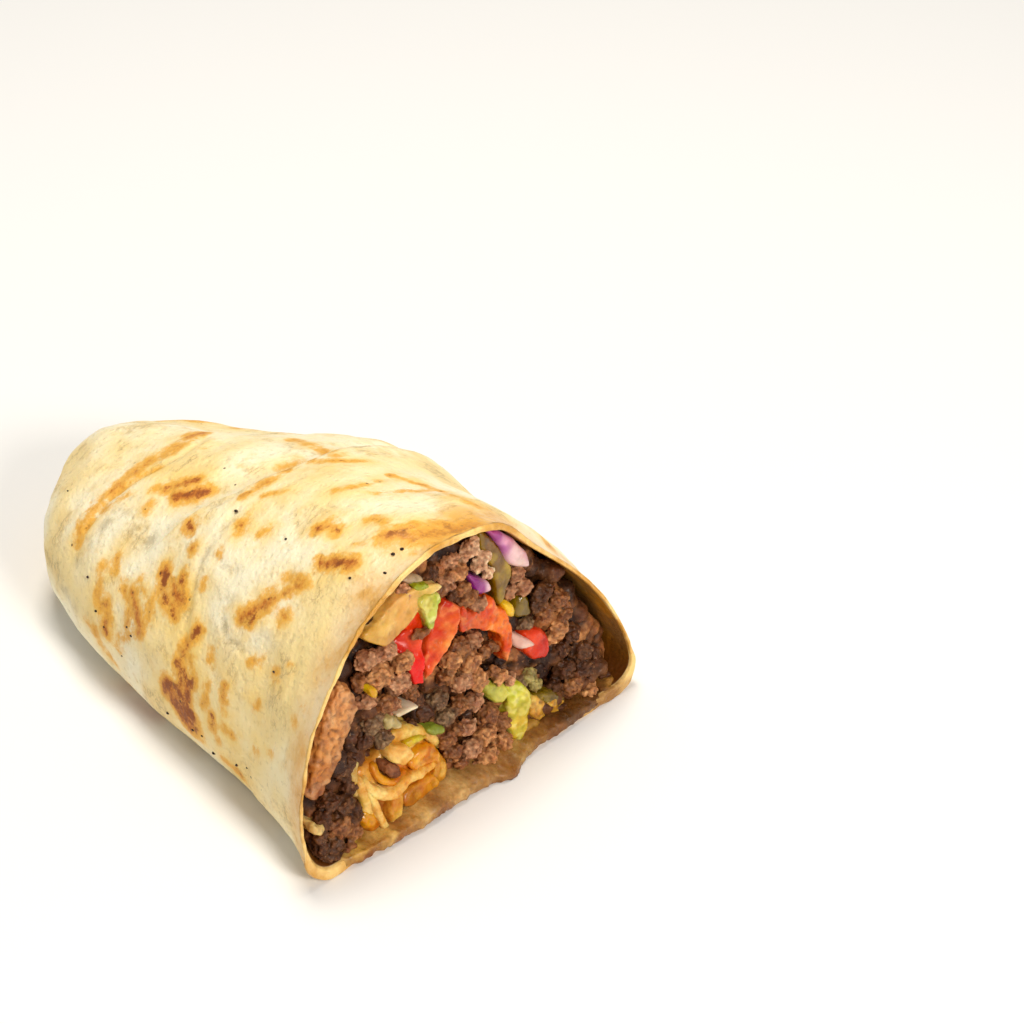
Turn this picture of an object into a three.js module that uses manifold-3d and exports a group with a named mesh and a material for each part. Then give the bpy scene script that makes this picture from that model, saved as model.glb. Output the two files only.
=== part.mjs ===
// Half of a cut sloppy joe wrap: a rolled, toasted flour tortilla around browned minced beef,
// tomato, red onion, pickle, lettuce and cheese sauce. Millimetres, +X from the closed end to
// the cut, +Z up, origin at the bottom centre of the whole half.
import * as THREE from 'three';
import { mergeVertices } from 'three/addons/utils/BufferGeometryUtils.js';
import Module from 'manifold-3d';

const wasm = await Module();
wasm.setup();

// ---------- driving dimensions ----------
const wrapLength = 110;
const endRounding = 21; // how far the closed end's rounding reaches along the wrap
const endFullness = 3.0; // 2 is a round end, more is squarer
const cutLean = 0.1; // the cut stands back by this part of its height
const pieceGap = 0.35; // clearance between neighbouring pieces
const wallSide = 2.3; // one layer of tortilla with its sauce
const wallTop = 2.7;
const wallBottom = 4.4; // the rolled layers underneath
const wallEnd = 9; // the folded layers of the closed end
const fillingSetback = 5.5; // the beef's front face behind the cut
const rimSetback = 0.5; // how far behind the rim every piece ends

// The edge of the outer layer, a step across the top.
const flap = {
  place: 63.5,
  straightFrom: 8,
  curve: 0.0165,
  rise: 1.5,
  softness: 3.2,
  valleyDepth: 1.1,
  valleyPlace: -4.5,
  valleyWidth: 4,
  nearFade: [-26, -14], // the step and the valley die out towards the near side and the bottom
  valleyFade: [-20, -6],
  lowFade: [12, 24],
};

// The body at t = 0 (closed end) to 1 (cut).
const nearSide = (t) => -34 + 19.6 * remaining(t) ** 4 - 7.8 * t ** 7;
const farSide = (t) => 39 - 19.2 * remaining(t) ** 3.4 + 2.6 * bump(t, 0.45, 0.17);
const topHeight = (t) => 49.6 - 25 * remaining(t) ** 1.4 + 2.7 * t ** 8;
const nearBelly = (t) => 13 - 3 * t; // height of the widest point, near side
const farBelly = (t) => 13.5 - 7.5 * t + 4 * bump(t, 0.42, 0.2);
const ridgeShare = (t) => 0.46 - 0.03 * t; // where the ridge lies between the two sides
const cornerReach = (t) => 9.6 - 3.4 * t; // how far the bottom corners' rounding reaches inwards
const nearFullness = 1.87;
const farFullness = (t) => 1.5 + 0.65 * bump(t, 0.35, 0.3);
const cornerFullness = 2.2;
const coreHeight = 0.45; // the share of the height that the closed end rounds off towards
const middleHeight = 20; // height of the wrap's middle line
const mergeDistance = 2e-3; // points closer than this are one point

// The share of the wrap that is left between t and the cut.
function remaining(t) {
  return Math.max(1 - t, 0);
}

function bump(t, centre, width) {
  return Math.exp(-(((t - centre) / width) ** 2));
}

// 0 at low to 1 at high, which may be the smaller of the two.
function smoothStep(low, high, value) {
  const u = Math.min(Math.max((value - low) / (high - low), 0), 1);
  return u * u * (3 - 2 * u);
}

// ---------- the body's cross-section ----------
// A quarter of a superellipse about (cy, cz), from the side point to the top or bottom one.
function quarter(cy, cz, reachY, reachZ, fullness, turn) {
  const y = cy + reachY * Math.cos(turn) ** (2 / fullness);
  const z = cz + reachZ * Math.sin(turn) ** (2 / fullness);
  return [y, z];
}

const arcSteps = { upper: 10, lower: 5, floor: 6 };
const endSteps = 7;
const lowestBelly = 3;
const smallestCorner = 2;
const outerSpacing = 3.8; // between rings along the wrap
const innerSpacing = 9;

// One closed ring at t, counter-clockwise seen from the cut, inset by the wall on each side.
function ring(t, inset) {
  const near = nearSide(t) + inset.side;
  const far = farSide(t) - inset.side;
  const top = topHeight(t) - inset.top;
  const floor = inset.bottom;
  const ridge = near + ridgeShare(t) * (far - near);
  const reach = Math.max(cornerReach(t) - inset.side, smallestCorner);
  const nearZ = Math.max(nearBelly(t), floor + lowestBelly);
  const farZ = Math.max(farBelly(t), floor + lowestBelly);
  const points = [];
  for (let i = 0; i < arcSteps.floor; i += 1) {
    const share = i / arcSteps.floor;
    points.push([near + reach + (far - near - 2 * reach) * share, floor]);
  }
  for (let i = 0; i < arcSteps.lower; i += 1) {
    const turn = (Math.PI / 2) * (1 - i / arcSteps.lower);
    points.push(quarter(far - reach, farZ, reach, floor - farZ, cornerFullness, turn));
  }
  for (let i = 0; i < arcSteps.upper; i += 1) {
    const turn = (Math.PI / 2) * (i / arcSteps.upper);
    points.push(quarter(ridge, farZ, far - ridge, top - farZ, farFullness(t), turn));
  }
  for (let i = 0; i < arcSteps.upper; i += 1) {
    const turn = (Math.PI / 2) * (1 - i / arcSteps.upper);
    points.push(quarter(ridge, nearZ, near - ridge, top - nearZ, nearFullness, turn));
  }
  for (let i = 0; i < arcSteps.lower; i += 1) {
    const turn = (Math.PI / 2) * (i / arcSteps.lower);
    points.push(quarter(near + reach, nearZ, -reach, floor - nearZ, cornerFullness, turn));
  }
  return { points, centre: [ridge, floor + (top - floor) * coreHeight] };
}

// The closed end: each ring shrinks towards its centre over the end's rounding.
function endScale(x, start) {
  const depth = (x - start) / endRounding;
  if (depth >= 1) {
    return 1;
  }
  return (1 - (1 - depth) ** endFullness) ** (1 / endFullness);
}

// Where the outer layer's edge crosses the top of the body: straight on the far side, then
// curving towards the closed end on the near one.
function flapEdge(y) {
  const inwards = Math.min(y - flap.straightFrom, 0);
  return flap.place - flap.curve * inwards ** 2;
}

// The outer layer stands proud of the inner one from its edge to the cut, with a valley before it.
function flapLift(x, y, z) {
  const pastEdge = x - flapEdge(y);
  const across = smoothStep(-flap.softness / 2, flap.softness / 2, pastEdge);
  const valley = flap.valleyDepth * bump(pastEdge, flap.valleyPlace, flap.valleyWidth);
  const step = flap.rise * across * smoothStep(...flap.nearFade, y);
  return (step - valley * smoothStep(...flap.valleyFade, y)) * smoothStep(...flap.lowFade, z);
}

function bodyRing(x, start, inset, withFlap) {
  const t = x / wrapLength;
  const { points, centre } = ring(t, inset);
  const scale = endScale(x, start);
  const lean = cutLean * t ** 3;
  return points.map(([py, pz]) => {
    let y = centre[0] + (py - centre[0]) * scale;
    let z = centre[1] + (pz - centre[1]) * scale;
    if (withFlap) {
      const lift = flapLift(x, y, z);
      const away = Math.hypot(y - centre[0], z - centre[1]);
      y += ((y - centre[0]) / away) * lift;
      z += ((z - centre[1]) / away) * lift;
    }
    return new THREE.Vector3(x - lean * z, y, z);
  });
}

// Places along the wrap: close together in the rounded end, then evenly spaced.
function ringPlaces(start, end, spacing) {
  const places = [];
  for (let i = 1; i <= endSteps; i += 1) {
    places.push(start + endRounding * (1 - Math.cos((Math.PI / 2) * (i / endSteps))));
  }
  const straight = end - start - endRounding;
  const steps = Math.round(straight / spacing);
  for (let i = 1; i <= steps; i += 1) {
    places.push(start + endRounding + (straight * i) / steps);
  }
  return places;
}

// ---------- meshes from rings ----------
// Triangles between two rings of equal count, facing out where the second lies towards +X.
function band(first, second, count, indices) {
  for (let j = 0; j < count; j += 1) {
    const k = (j + 1) % count;
    indices.push(first + j, first + k, second + j);
    indices.push(first + k, second + k, second + j);
  }
}

function meanPoint(points) {
  const sum = points.reduce((total, p) => total.add(p), new THREE.Vector3());
  return sum.divideScalar(points.length);
}

// One closed surface through the rings, drawn together at a pole before the first and after the last.
function closedLoft(rings) {
  const count = rings[0].length;
  const lastRing = rings.length - 1;
  const points = [...rings.flat(), meanPoint(rings[0]), meanPoint(rings[lastRing])];
  const indices = [];
  for (let i = 0; i < lastRing; i += 1) {
    band(i * count, (i + 1) * count, count, indices);
  }
  const startPole = points.length - 2;
  const endPole = points.length - 1;
  for (let j = 0; j < count; j += 1) {
    const k = (j + 1) % count;
    indices.push(startPole, k, j);
    indices.push(endPole, lastRing * count + j, lastRing * count + k);
  }
  const geometry = new THREE.BufferGeometry();
  const flat = new Float32Array(points.flatMap((p) => [p.x, p.y, p.z]));
  geometry.setAttribute('position', new THREE.BufferAttribute(flat, 3));
  geometry.setIndex(indices);
  return geometry;
}

// ---------- solids ----------
function solidFrom(geometry) {
  const bare = geometry.clone();
  bare.deleteAttribute('normal');
  bare.deleteAttribute('uv');
  const merged = mergeVertices(bare, mergeDistance);
  const mesh = new wasm.Mesh({
    numProp: 3,
    vertProperties: merged.attributes.position.array,
    triVerts: new Uint32Array(merged.index.array),
  });
  return new wasm.Manifold(mesh);
}

function geometryFrom(solid) {
  const mesh = solid.getMesh();
  const geometry = new THREE.BufferGeometry();
  const positions = new Float32Array(mesh.vertProperties);
  geometry.setAttribute('position', new THREE.BufferAttribute(positions, 3));
  geometry.setIndex([...mesh.triVerts]);
  return largestPart(mergeVertices(geometry, mergeDistance));
}

// Cutting can leave crumbs beside a piece: only its largest connected part is kept.
function largestPart(geometry) {
  const index = geometry.index.array;
  const owner = Array.from({ length: geometry.attributes.position.count }, (_, i) => i);
  const rootOf = (i) => {
    let at = i;
    while (owner[at] !== at) {
      owner[at] = owner[owner[at]];
      at = owner[at];
    }
    return at;
  };
  for (let i = 0; i < index.length; i += 3) {
    owner[rootOf(index[i + 1])] = rootOf(index[i]);
    owner[rootOf(index[i + 2])] = rootOf(index[i]);
  }
  const parts = new Map();
  for (let i = 0; i < index.length; i += 3) {
    const [a, b, c] = [index[i], index[i + 1], index[i + 2]];
    if (a !== b && b !== c && c !== a) {
      const key = rootOf(a);
      parts.set(key, [...(parts.get(key) ?? []), a, b, c]);
    }
  }
  const largest = [...parts.values()].reduce((best, part) => (part.length > best.length ? part : best));
  geometry.setIndex(largest);
  return geometry;
}

// ---------- tortilla ----------
const outside = { side: 0, top: 0, bottom: 0 };

function wallInset(extra) {
  return { side: wallSide + extra, top: wallTop + extra, bottom: wallBottom + extra };
}

function innerRings(start, end, inset) {
  return ringPlaces(start, end, innerSpacing).map((x) => bodyRing(x, start, inset, false));
}

function tortillaGeometry() {
  const outer = ringPlaces(0, wrapLength, outerSpacing).map((x) => bodyRing(x, 0, outside, true));
  const inner = innerRings(wallEnd, wrapLength, wallInset(0));
  return closedLoft([...outer, ...inner.reverse()]);
}

// The room inside the tortilla up to x = end, kept clear of its wall.
function roomInside(end) {
  return solidFrom(closedLoft(innerRings(wallEnd + pieceGap, end, wallInset(pieceGap))));
}

// ---------- outlines of the filling's pieces, y across and z up as seen at the cut ----------
const blobCorners = 12;
const swells = { broad: 3, fine: 5, phase: 1.3, fineShare: 0.6 }; // per turn round a blob
const rippleTurns = 3; // swells and narrowings along a strip

// A superellipse with a gentle wobble: dice, slices and lumps.
function blobOutline({ width, height, fullness, wobble }, grow) {
  const shape = [];
  for (let i = 0; i < blobCorners; i += 1) {
    const turn = (2 * Math.PI * i) / blobCorners;
    const c = Math.cos(turn);
    const s = Math.sin(turn);
    const broad = wobble * Math.sin(swells.broad * turn + swells.phase);
    const fine = wobble * swells.fineShare * Math.cos(swells.fine * turn);
    const size = (1 + broad + fine) / 2;
    const y = width * size * Math.sign(c) * Math.abs(c) ** (2 / fullness);
    const z = height * size * Math.sign(s) * Math.abs(s) ** (2 / fullness);
    shape.push(new THREE.Vector2(y + grow * Math.sign(c), z + grow * Math.sign(s)));
  }
  return shape;
}

// A strip of even thickness along a smooth line through a few points: leaf, onion layer, fold.
function stripOutline({ line, thickness, ripple }, grow) {
  const curve = new THREE.SplineCurve(line.map(([y, z]) => new THREE.Vector2(y, z)));
  const steps = (line.length - 1) * 2;
  const half = thickness / 2 + grow;
  const leftEdge = [];
  const rightEdge = [];
  for (let i = 0; i <= steps; i += 1) {
    const u = i / steps;
    const at = curve.getPoint(u);
    const along = curve.getTangent(u);
    const side = new THREE.Vector2(-along.y, along.x);
    const width = half * (1 + ripple * Math.sin(2 * Math.PI * rippleTurns * u));
    if (i === 0) {
      at.addScaledVector(along, -grow);
    } else if (i === steps) {
      at.addScaledVector(along, grow);
    }
    leftEdge.push(at.clone().addScaledVector(side, width));
    rightEdge.push(at.clone().addScaledVector(side, -width));
  }
  return [...rightEdge, ...leftEdge.reverse()];
}

// A piece: its outline drawn from its front to its back along the wrap, with rounded edges.
function pieceGeometry(piece) {
  const outline = piece.line ? stripOutline(piece, 0) : blobOutline(piece, 0);
  const round = piece.round;
  const geometry = new THREE.ExtrudeGeometry(new THREE.Shape(outline), {
    depth: piece.depth - 2 * round,
    bevelThickness: round,
    bevelSize: round,
    bevelOffset: -round,
    bevelSegments: 1,
  });
  geometry.translate(0, 0, round - piece.depth);
  return placedInWrap(geometry, piece);
}

// The space that a piece's neighbours leave free around it.
function clearanceGeometry(piece) {
  const outline = piece.line ? stripOutline(piece, pieceGap) : blobOutline(piece, pieceGap);
  const geometry = new THREE.ExtrudeGeometry(new THREE.Shape(outline), {
    depth: piece.depth + 2 * pieceGap,
    bevelEnabled: false,
  });
  geometry.translate(0, 0, -piece.depth - pieceGap);
  return placedInWrap(geometry, piece);
}

// Turned to face the cut, set at its place there, its back leaning towards the wrap's middle line.
function placedInWrap(geometry, piece) {
  const [y, z] = piece.at;
  const along = new THREE.Vector3(1, y * piece.inwards, (z - middleHeight) * piece.inwards);
  const facingCut = new THREE.Matrix4().makeBasis(
    new THREE.Vector3(0, 1, 0),
    new THREE.Vector3(0, 0, 1),
    along.normalize(),
  );
  geometry.rotateZ(piece.turn ?? 0);
  geometry.applyMatrix4(facingCut);
  geometry.translate(wrapLength - cutLean * z - piece.setback, y, z);
  return geometry;
}

// ---------- the filling's pieces ----------
// at: [y, z] on the cut's plane. depth: how far a piece runs into the wrap. setback: its front
// behind the cut. inwards: how fast it closes on the wrap's middle towards the closed end.
const pieces = [
  {
    name: 'cheese_fold', color: '#e2b04e', roughness: 0.45,
    at: [-18.5, 12.5], depth: 78, setback: 3.5, inwards: 0.006, round: 0.4, thickness: 2.9, ripple: 0.08,
    line: [
      [11.5, 4.5], [3.5, 8.2], [-4, 7.5], [-9, 1.5], [-7.5, -4.5],
      [-2, -4.2], [1.5, 1.2], [5.5, -1.5], [4.5, -6],
    ],
  },
  {
    name: 'meat_slab', color: '#a5714d', roughness: 0.6,
    at: [-33.5, 24], depth: 66, setback: 2, inwards: 0.006, round: 0.6, thickness: 3.4, ripple: 0.1,
    line: [[4.2, 9.5], [1.2, 3.5], [-1.6, -3], [-3, -9]],
  },
  {
    name: 'leaf_slab', color: '#ddce8c', roughness: 0.45,
    at: [-15, 42.5], depth: 52, setback: 1.5, inwards: 0.007, round: 0.4, thickness: 2.5, ripple: 0.12,
    line: [[-9.5, -4.5], [-4.5, -0.8], [1.5, 1.5], [8, 2.2]],
  },
  {
    name: 'lettuce_leaf', color: '#bcc63a', roughness: 0.42,
    at: [7, 13], depth: 62, setback: 2.5, inwards: 0.005, round: 0.4, thickness: 2.6, ripple: 0.14,
    line: [[-5.5, 6.2], [-0.5, 3.6], [3.4, 0], [2.2, -5.2]],
  },
  {
    name: 'pickle_strip', color: '#93801f', roughness: 0.35,
    at: [6, 39.5], depth: 30, setback: 2.5, inwards: 0.006, round: 0.5, thickness: 3.4, ripple: 0.12,
    line: [[-2, 6.6], [0.2, 1.5], [1.6, -6.4]],
  },
  {
    name: 'red_onion_piece', color: '#d5bfc0', roughness: 0.3,
    at: [10.6, 39.6], depth: 26, setback: 1.5, inwards: 0.007, round: 0.5, thickness: 3.8, ripple: 0.05,
    line: [[-3.4, 5.2], [0.6, 1.2], [2.2, -5]],
  },
  {
    name: 'tomato_slice', color: '#dd5426', roughness: 0.25,
    at: [-7.2, 33.6], depth: 20, setback: 3, inwards: 0.006, round: 0.7, thickness: 5.4, ripple: 0.05,
    line: [[2.4, 5.6], [0.1, 0.2], [-2.9, -5]],
  },
  {
    name: 'tomato_wedge', color: '#e0662c', roughness: 0.28,
    at: [4, 30.6], depth: 18, setback: 3, inwards: 0.006, round: 0.6, thickness: 4.6, ripple: 0.05,
    line: [[-6.4, 4.4], [-1.4, 3], [2.6, -1.4], [3.4, -8]],
  },
  {
    name: 'tomato_dice', color: '#d11607', roughness: 0.2,
    at: [-14.6, 31.4], width: 6.8, height: 9.4, fullness: 6, wobble: 0.02, turn: 0.28,
    depth: 12, setback: 1, inwards: 0.006, round: 0.9,
  },
  {
    name: 'tomato_scrap', color: '#cf4a1c', roughness: 0.3,
    at: [-14.4, 38], width: 4.6, height: 3, fullness: 3, wobble: 0.05, turn: 0.7,
    depth: 9, setback: 3, inwards: 0.007, round: 0.7,
  },
  {
    name: 'tomato_bit', color: '#b8391d', roughness: 0.35,
    at: [15.4, 21.6], width: 5.4, height: 5.8, fullness: 3, wobble: 0.05, turn: 0.3,
    depth: 9, setback: 5, inwards: 0.006, round: 0.8,
  },
  {
    name: 'lettuce_shred', color: '#b5cc4e', roughness: 0.42,
    at: [-10.2, 38.6], depth: 14, setback: 2, inwards: 0.007, round: 0.35, thickness: 1.7, ripple: 0.1,
    line: [[1, 3.2], [-0.6, 0.4], [0.2, -3]],
  },
  {
    name: 'red_onion_bit', color: '#8a3066', roughness: 0.3,
    at: [1.5, 40.4], width: 3.2, height: 4.6, fullness: 2.6, wobble: 0.05, turn: -0.5,
    depth: 8, setback: 4, inwards: 0.006, round: 0.6,
  },
  {
    name: 'onion_sliver', color: '#d9bfae', roughness: 0.35,
    at: [11.4, 26], depth: 9, setback: 3.5, inwards: 0.006, round: 0.3, thickness: 2, ripple: 0,
    line: [[-2.6, 0.6], [0, 0.2], [2.4, -1.4]],
  },
  {
    name: 'pickle_chip', color: '#7d741b', roughness: 0.35,
    at: [12.8, 31.2], width: 3.6, height: 5.6, fullness: 3, wobble: 0.06, turn: 0.35,
    depth: 10, setback: 4, inwards: 0.006, round: 0.6,
  },
  {
    name: 'onion_strip', color: '#ccc48f', roughness: 0.4,
    at: [-18.4, 23.4], depth: 11, setback: 2.5, inwards: 0.006, round: 0.35, thickness: 1.8, ripple: 0.1,
    line: [[-3.4, -1], [0, 0.2], [3.6, -0.2]],
  },
  {
    name: 'cheese_bit', color: '#d8b545', roughness: 0.5,
    at: [15.8, 9.4], width: 6.4, height: 3.8, fullness: 2.6, wobble: 0.08, turn: 0.5,
    depth: 12, setback: 3.5, inwards: 0.005, round: 0.7,
  },
];

// Lumps of minced beef that show at the cut: [y, z] on its plane, radius, height share, setback.
const beefLumps = [
  { at: [-6, 43.5], radius: 5, tall: 0.9, setback: 3.5 },
  { at: [1.2, 46], radius: 3.6, tall: 1.1, setback: 3 },
  { at: [19.5, 29.5], radius: 6, tall: 1.1, setback: 4 },
  { at: [24.5, 13], radius: 7.4, tall: 1.15, setback: 3.5 },
  { at: [-3.6, 23.4], radius: 7.2, tall: 1, setback: 2.5 },
  { at: [0.4, 10.4], radius: 6.8, tall: 0.9, setback: 1.5 },
  { at: [-24.5, 31.5], radius: 6.8, tall: 1.05, setback: 2.5 },
  { at: [-26, 20.5], radius: 5, tall: 1, setback: 3 },
  { at: [-11.5, 18], radius: 5.6, tall: 0.9, setback: 4.5 },
  { at: [-33.5, 10.5], radius: 6.2, tall: 1.4, setback: 3 },
  { at: [10.5, 19.8], radius: 3.4, tall: 0.9, setback: 3.5 },
];

const lumpRoughness = 0.14;
const lumpWaves = [1.1, 1.3, 1.2]; // dents per millimetre, in radians, along x, y and z
const largeLump = 5.5; // lumps of a larger radius get finer faces
const lumpSink = 0.7; // the share of its radius that a lump's centre lies behind its front

// A crumbly lump: a ball with dents and bulges that follow its place.
function lumpGeometry({ at, radius, tall, setback }) {
  const geometry = new THREE.IcosahedronGeometry(radius, radius > largeLump ? 2 : 1);
  const position = geometry.attributes.position;
  const point = new THREE.Vector3();
  for (let i = 0; i < position.count; i += 1) {
    point.fromBufferAttribute(position, i);
    const acrossDents = Math.sin(lumpWaves[0] * point.x + at[0]) * Math.sin(lumpWaves[1] * point.y + at[1]);
    point.multiplyScalar(1 + lumpRoughness * acrossDents * Math.cos(lumpWaves[2] * point.z));
    position.setXYZ(i, point.x, point.y, point.z * tall);
  }
  geometry.translate(wrapLength - cutLean * at[1] - setback - radius * lumpSink, at[0], at[1]);
  return geometry;
}

// ---------- assembly ----------
const wrapHalf = new THREE.Group();
wrapHalf.name = 'sloppy_joe_wrap_half';

function addPart(name, geometry, color, roughness) {
  geometry.computeVertexNormals();
  const material = new THREE.MeshStandardMaterial({ color, roughness, metalness: 0 });
  const mesh = new THREE.Mesh(geometry, material);
  mesh.name = name;
  wrapHalf.add(mesh);
}

addPart('tortilla', tortillaGeometry(), '#f2dfb4', 0.7);

// Each piece is trimmed to the room inside the tortilla and clear of the pieces before it.
const room = roomInside(wrapLength - rimSetback);
const clearances = [];
for (const piece of pieces) {
  const whole = solidFrom(pieceGeometry(piece)).intersect(room);
  const solid = clearances.reduce((rest, cleared) => rest.subtract(cleared), whole);
  addPart(piece.name, geometryFrom(solid), piece.color, piece.roughness);
  clearances.push(solidFrom(clearanceGeometry(piece)));
}

// The minced beef fills the rest, its front an uneven heap of lumps.
let beef = roomInside(wrapLength - fillingSetback);
for (const lump of beefLumps) {
  beef = beef.add(solidFrom(lumpGeometry(lump)).intersect(room));
}
beef = clearances.reduce((rest, cleared) => rest.subtract(cleared), beef);
addPart('ground_beef', geometryFrom(beef), '#6f4a33', 0.6);

const box = new THREE.Box3().setFromObject(wrapHalf);
const middle = box.getCenter(new THREE.Vector3());
wrapHalf.position.set(-middle.x, -middle.y, -box.min.z);

export default wrapHalf;
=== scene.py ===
import math
import random

import bmesh
import bpy
import numpy as np
from mathutils import Euler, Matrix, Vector, noise
from mathutils.bvhtree import BVHTree
from mathutils.kdtree import KDTree


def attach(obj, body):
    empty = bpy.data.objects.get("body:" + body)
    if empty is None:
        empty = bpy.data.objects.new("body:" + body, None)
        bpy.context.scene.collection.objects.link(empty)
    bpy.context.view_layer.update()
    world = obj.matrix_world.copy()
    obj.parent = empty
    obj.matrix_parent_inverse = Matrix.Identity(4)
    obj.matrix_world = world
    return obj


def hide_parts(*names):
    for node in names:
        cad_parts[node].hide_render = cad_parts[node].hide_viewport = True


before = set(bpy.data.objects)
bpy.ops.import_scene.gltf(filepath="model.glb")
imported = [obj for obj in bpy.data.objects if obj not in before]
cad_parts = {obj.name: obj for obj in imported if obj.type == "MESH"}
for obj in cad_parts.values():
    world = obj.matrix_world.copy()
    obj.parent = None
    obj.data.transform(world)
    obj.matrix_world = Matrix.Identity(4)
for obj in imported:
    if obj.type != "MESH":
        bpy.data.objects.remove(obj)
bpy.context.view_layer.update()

mm = 0.001

# Sizes are in millimetres along the wrap (x), across it (y) and up (z), x = 0 at the closed end.
wrap = {
    "length": 110.0,
    "endRounding": 21.0,
    "endFullness": 3.0,
    "cutLean": 0.1,
    "wallEnd": 9.0,
    "centre": (55.26, -1.11, 0.0),  # the frame's origin, in these sizes
}
outside = (0.0, 0.0, 0.0)
inside = (1.45, 1.65, 2.3)  # the wall as it looks at the cut: sides, top and bottom

photo = {
    "place": (0.3431, -0.2815, 0.3400),
    "tilt": 55.0,
    "turn": 44.97,
    "focal": 3000.0,  # in pixels of a picture 1024 wide
    "width": 1024,
    "sensor": 36.0,
}


# A colour as it shows, 0 to 255, in the shader's linear numbers.
def tone(red, green, blue):
    shown = (red / 255, green / 255, blue / 255)
    return tuple(((c + 0.055) / 1.055) ** 2.4 if c > 0.0393 else c / 12.92 for c in shown) + (1.0,)


def toFrame(points):
    return (np.asarray(points, float) - np.array(wrap["centre"])) * mm


def smoothStep(low, high, value):
    u = np.clip((value - low) / (high - low), 0.0, 1.0)
    return u * u * (3 - 2 * u)


def bump(value, centre, width):
    return np.exp(-(((value - centre) / width) ** 2))


def asMesh(bm, name):
    mesh = bpy.data.meshes.new(name)
    bm.to_mesh(mesh)
    bm.free()
    return mesh


def linked(name, data):
    made = bpy.data.objects.new(name, data)
    bpy.context.scene.collection.objects.link(made)
    return made


cameraTurn = Euler((math.radians(photo["tilt"]), 0, math.radians(photo["turn"])))


def addCamera():
    data = bpy.data.cameras.new("photoCamera")
    data.sensor_width = photo["sensor"]
    data.lens = photo["sensor"] * photo["focal"] / photo["width"]
    camera = linked("photoCamera", data)
    camera.location = photo["place"]
    camera.rotation_euler = cameraTurn
    bpy.context.scene.camera = camera


studio = {
    "floorSize": 6.0,
    "floorColor": (0.9, 0.895, 0.885, 1),
    "floorRoughness": 0.8,
    "world": 0.36,
    "lamps": {
        # name: place, aim, size, watts, colour
        "keyLamp": ((-0.1, 0.08, 0.75), (0, 0, 0.02), 0.3, 3.7, (1.0, 0.94, 0.84)),
        "frontLamp": ((0.75, -0.12, 0.48), (0, 0, 0.02), 0.24, 4.6, (1.0, 0.95, 0.88)),
    },
}


def addFloor():
    bm = bmesh.new()
    bmesh.ops.create_grid(bm, x_segments=1, y_segments=1, size=studio["floorSize"] / 2)
    floor = linked("paleFloor", asMesh(bm, "paleFloor"))
    material = bpy.data.materials.new("paleFloor")
    material.use_nodes = True
    shader = material.node_tree.nodes["Principled BSDF"]
    shader.inputs["Base Color"].default_value = studio["floorColor"]
    shader.inputs["Roughness"].default_value = studio["floorRoughness"]
    floor.data.materials.append(material)


def addLight():
    for name, (place, aim, size, watts, color) in studio["lamps"].items():
        light = bpy.data.lights.new(name, "AREA")
        light.shape = "DISK"
        light.size = size
        light.energy = watts
        light.color = color
        lamp = linked(name, light)
        lamp.location = place
        lamp.rotation_euler = (Vector(aim) - Vector(place)).to_track_quat("-Z", "Y").to_euler()
    world = bpy.data.worlds.new("softRoom")
    world.use_nodes = True
    air = world.node_tree.nodes["Background"]
    air.inputs["Color"].default_value = (1, 1, 1, 1)
    air.inputs["Strength"].default_value = studio["world"]
    bpy.context.scene.world = world
    bpy.context.scene.view_settings.view_transform = "Standard"


# The section at t = 0 (closed end) to 1 (cut), as the solids have it.
def nearSide(t):
    return -34 + 19.6 * max(1 - t, 0) ** 4 - 7.8 * t ** 7


def farSide(t):
    return 39 - 19.2 * max(1 - t, 0) ** 3.4 + 2.6 * bump(t, 0.45, 0.17)


def topHeight(t):
    return 49.6 - 25 * max(1 - t, 0) ** 1.4 + 2.7 * t ** 8


section = {
    "nearBelly": lambda t: 13 - 3 * t,
    "farBelly": lambda t: 13.5 - 7.5 * t + 4 * bump(t, 0.42, 0.2),
    "ridgeShare": lambda t: 0.46 - 0.03 * t,
    "cornerReach": lambda t: 9.6 - 3.4 * t,
    "nearFullness": 1.87,
    "farFullness": lambda t: 1.5 + 0.65 * bump(t, 0.35, 0.3),
    "cornerFullness": 2.2,
    "coreHeight": 0.45,
    "lowestBelly": 3.0,
    "smallestCorner": 2.0,
    "steps": 48,
    "columns": 340,
    "floorShare": (0.3, 0.15),  # of the way round, and of the columns spent on it
    "farShare": (0.55, 0.38),
    "tableStep": 0.5,  # between the places along the wrap at which the section is worked out
    "tableTurns": (0.02, 60),  # in the rounded end: the first turn, and how many
}


def quarter(cy, cz, reachY, reachZ, fullness, turns):
    y = cy + reachY * np.cos(turns) ** (2 / fullness)
    z = cz + reachZ * np.sin(turns) ** (2 / fullness)
    return np.stack([y, z], 1)


# How far along a line each of its points lies.
def lengthsAlong(line):
    return np.concatenate([[0], np.cumsum(np.linalg.norm(np.diff(line, axis=0), axis=1))])


def spreadAlong(line, along, at):
    return np.stack([np.interp(at, along, line[:, 0]), np.interp(at, along, line[:, 1])], 1)


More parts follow.
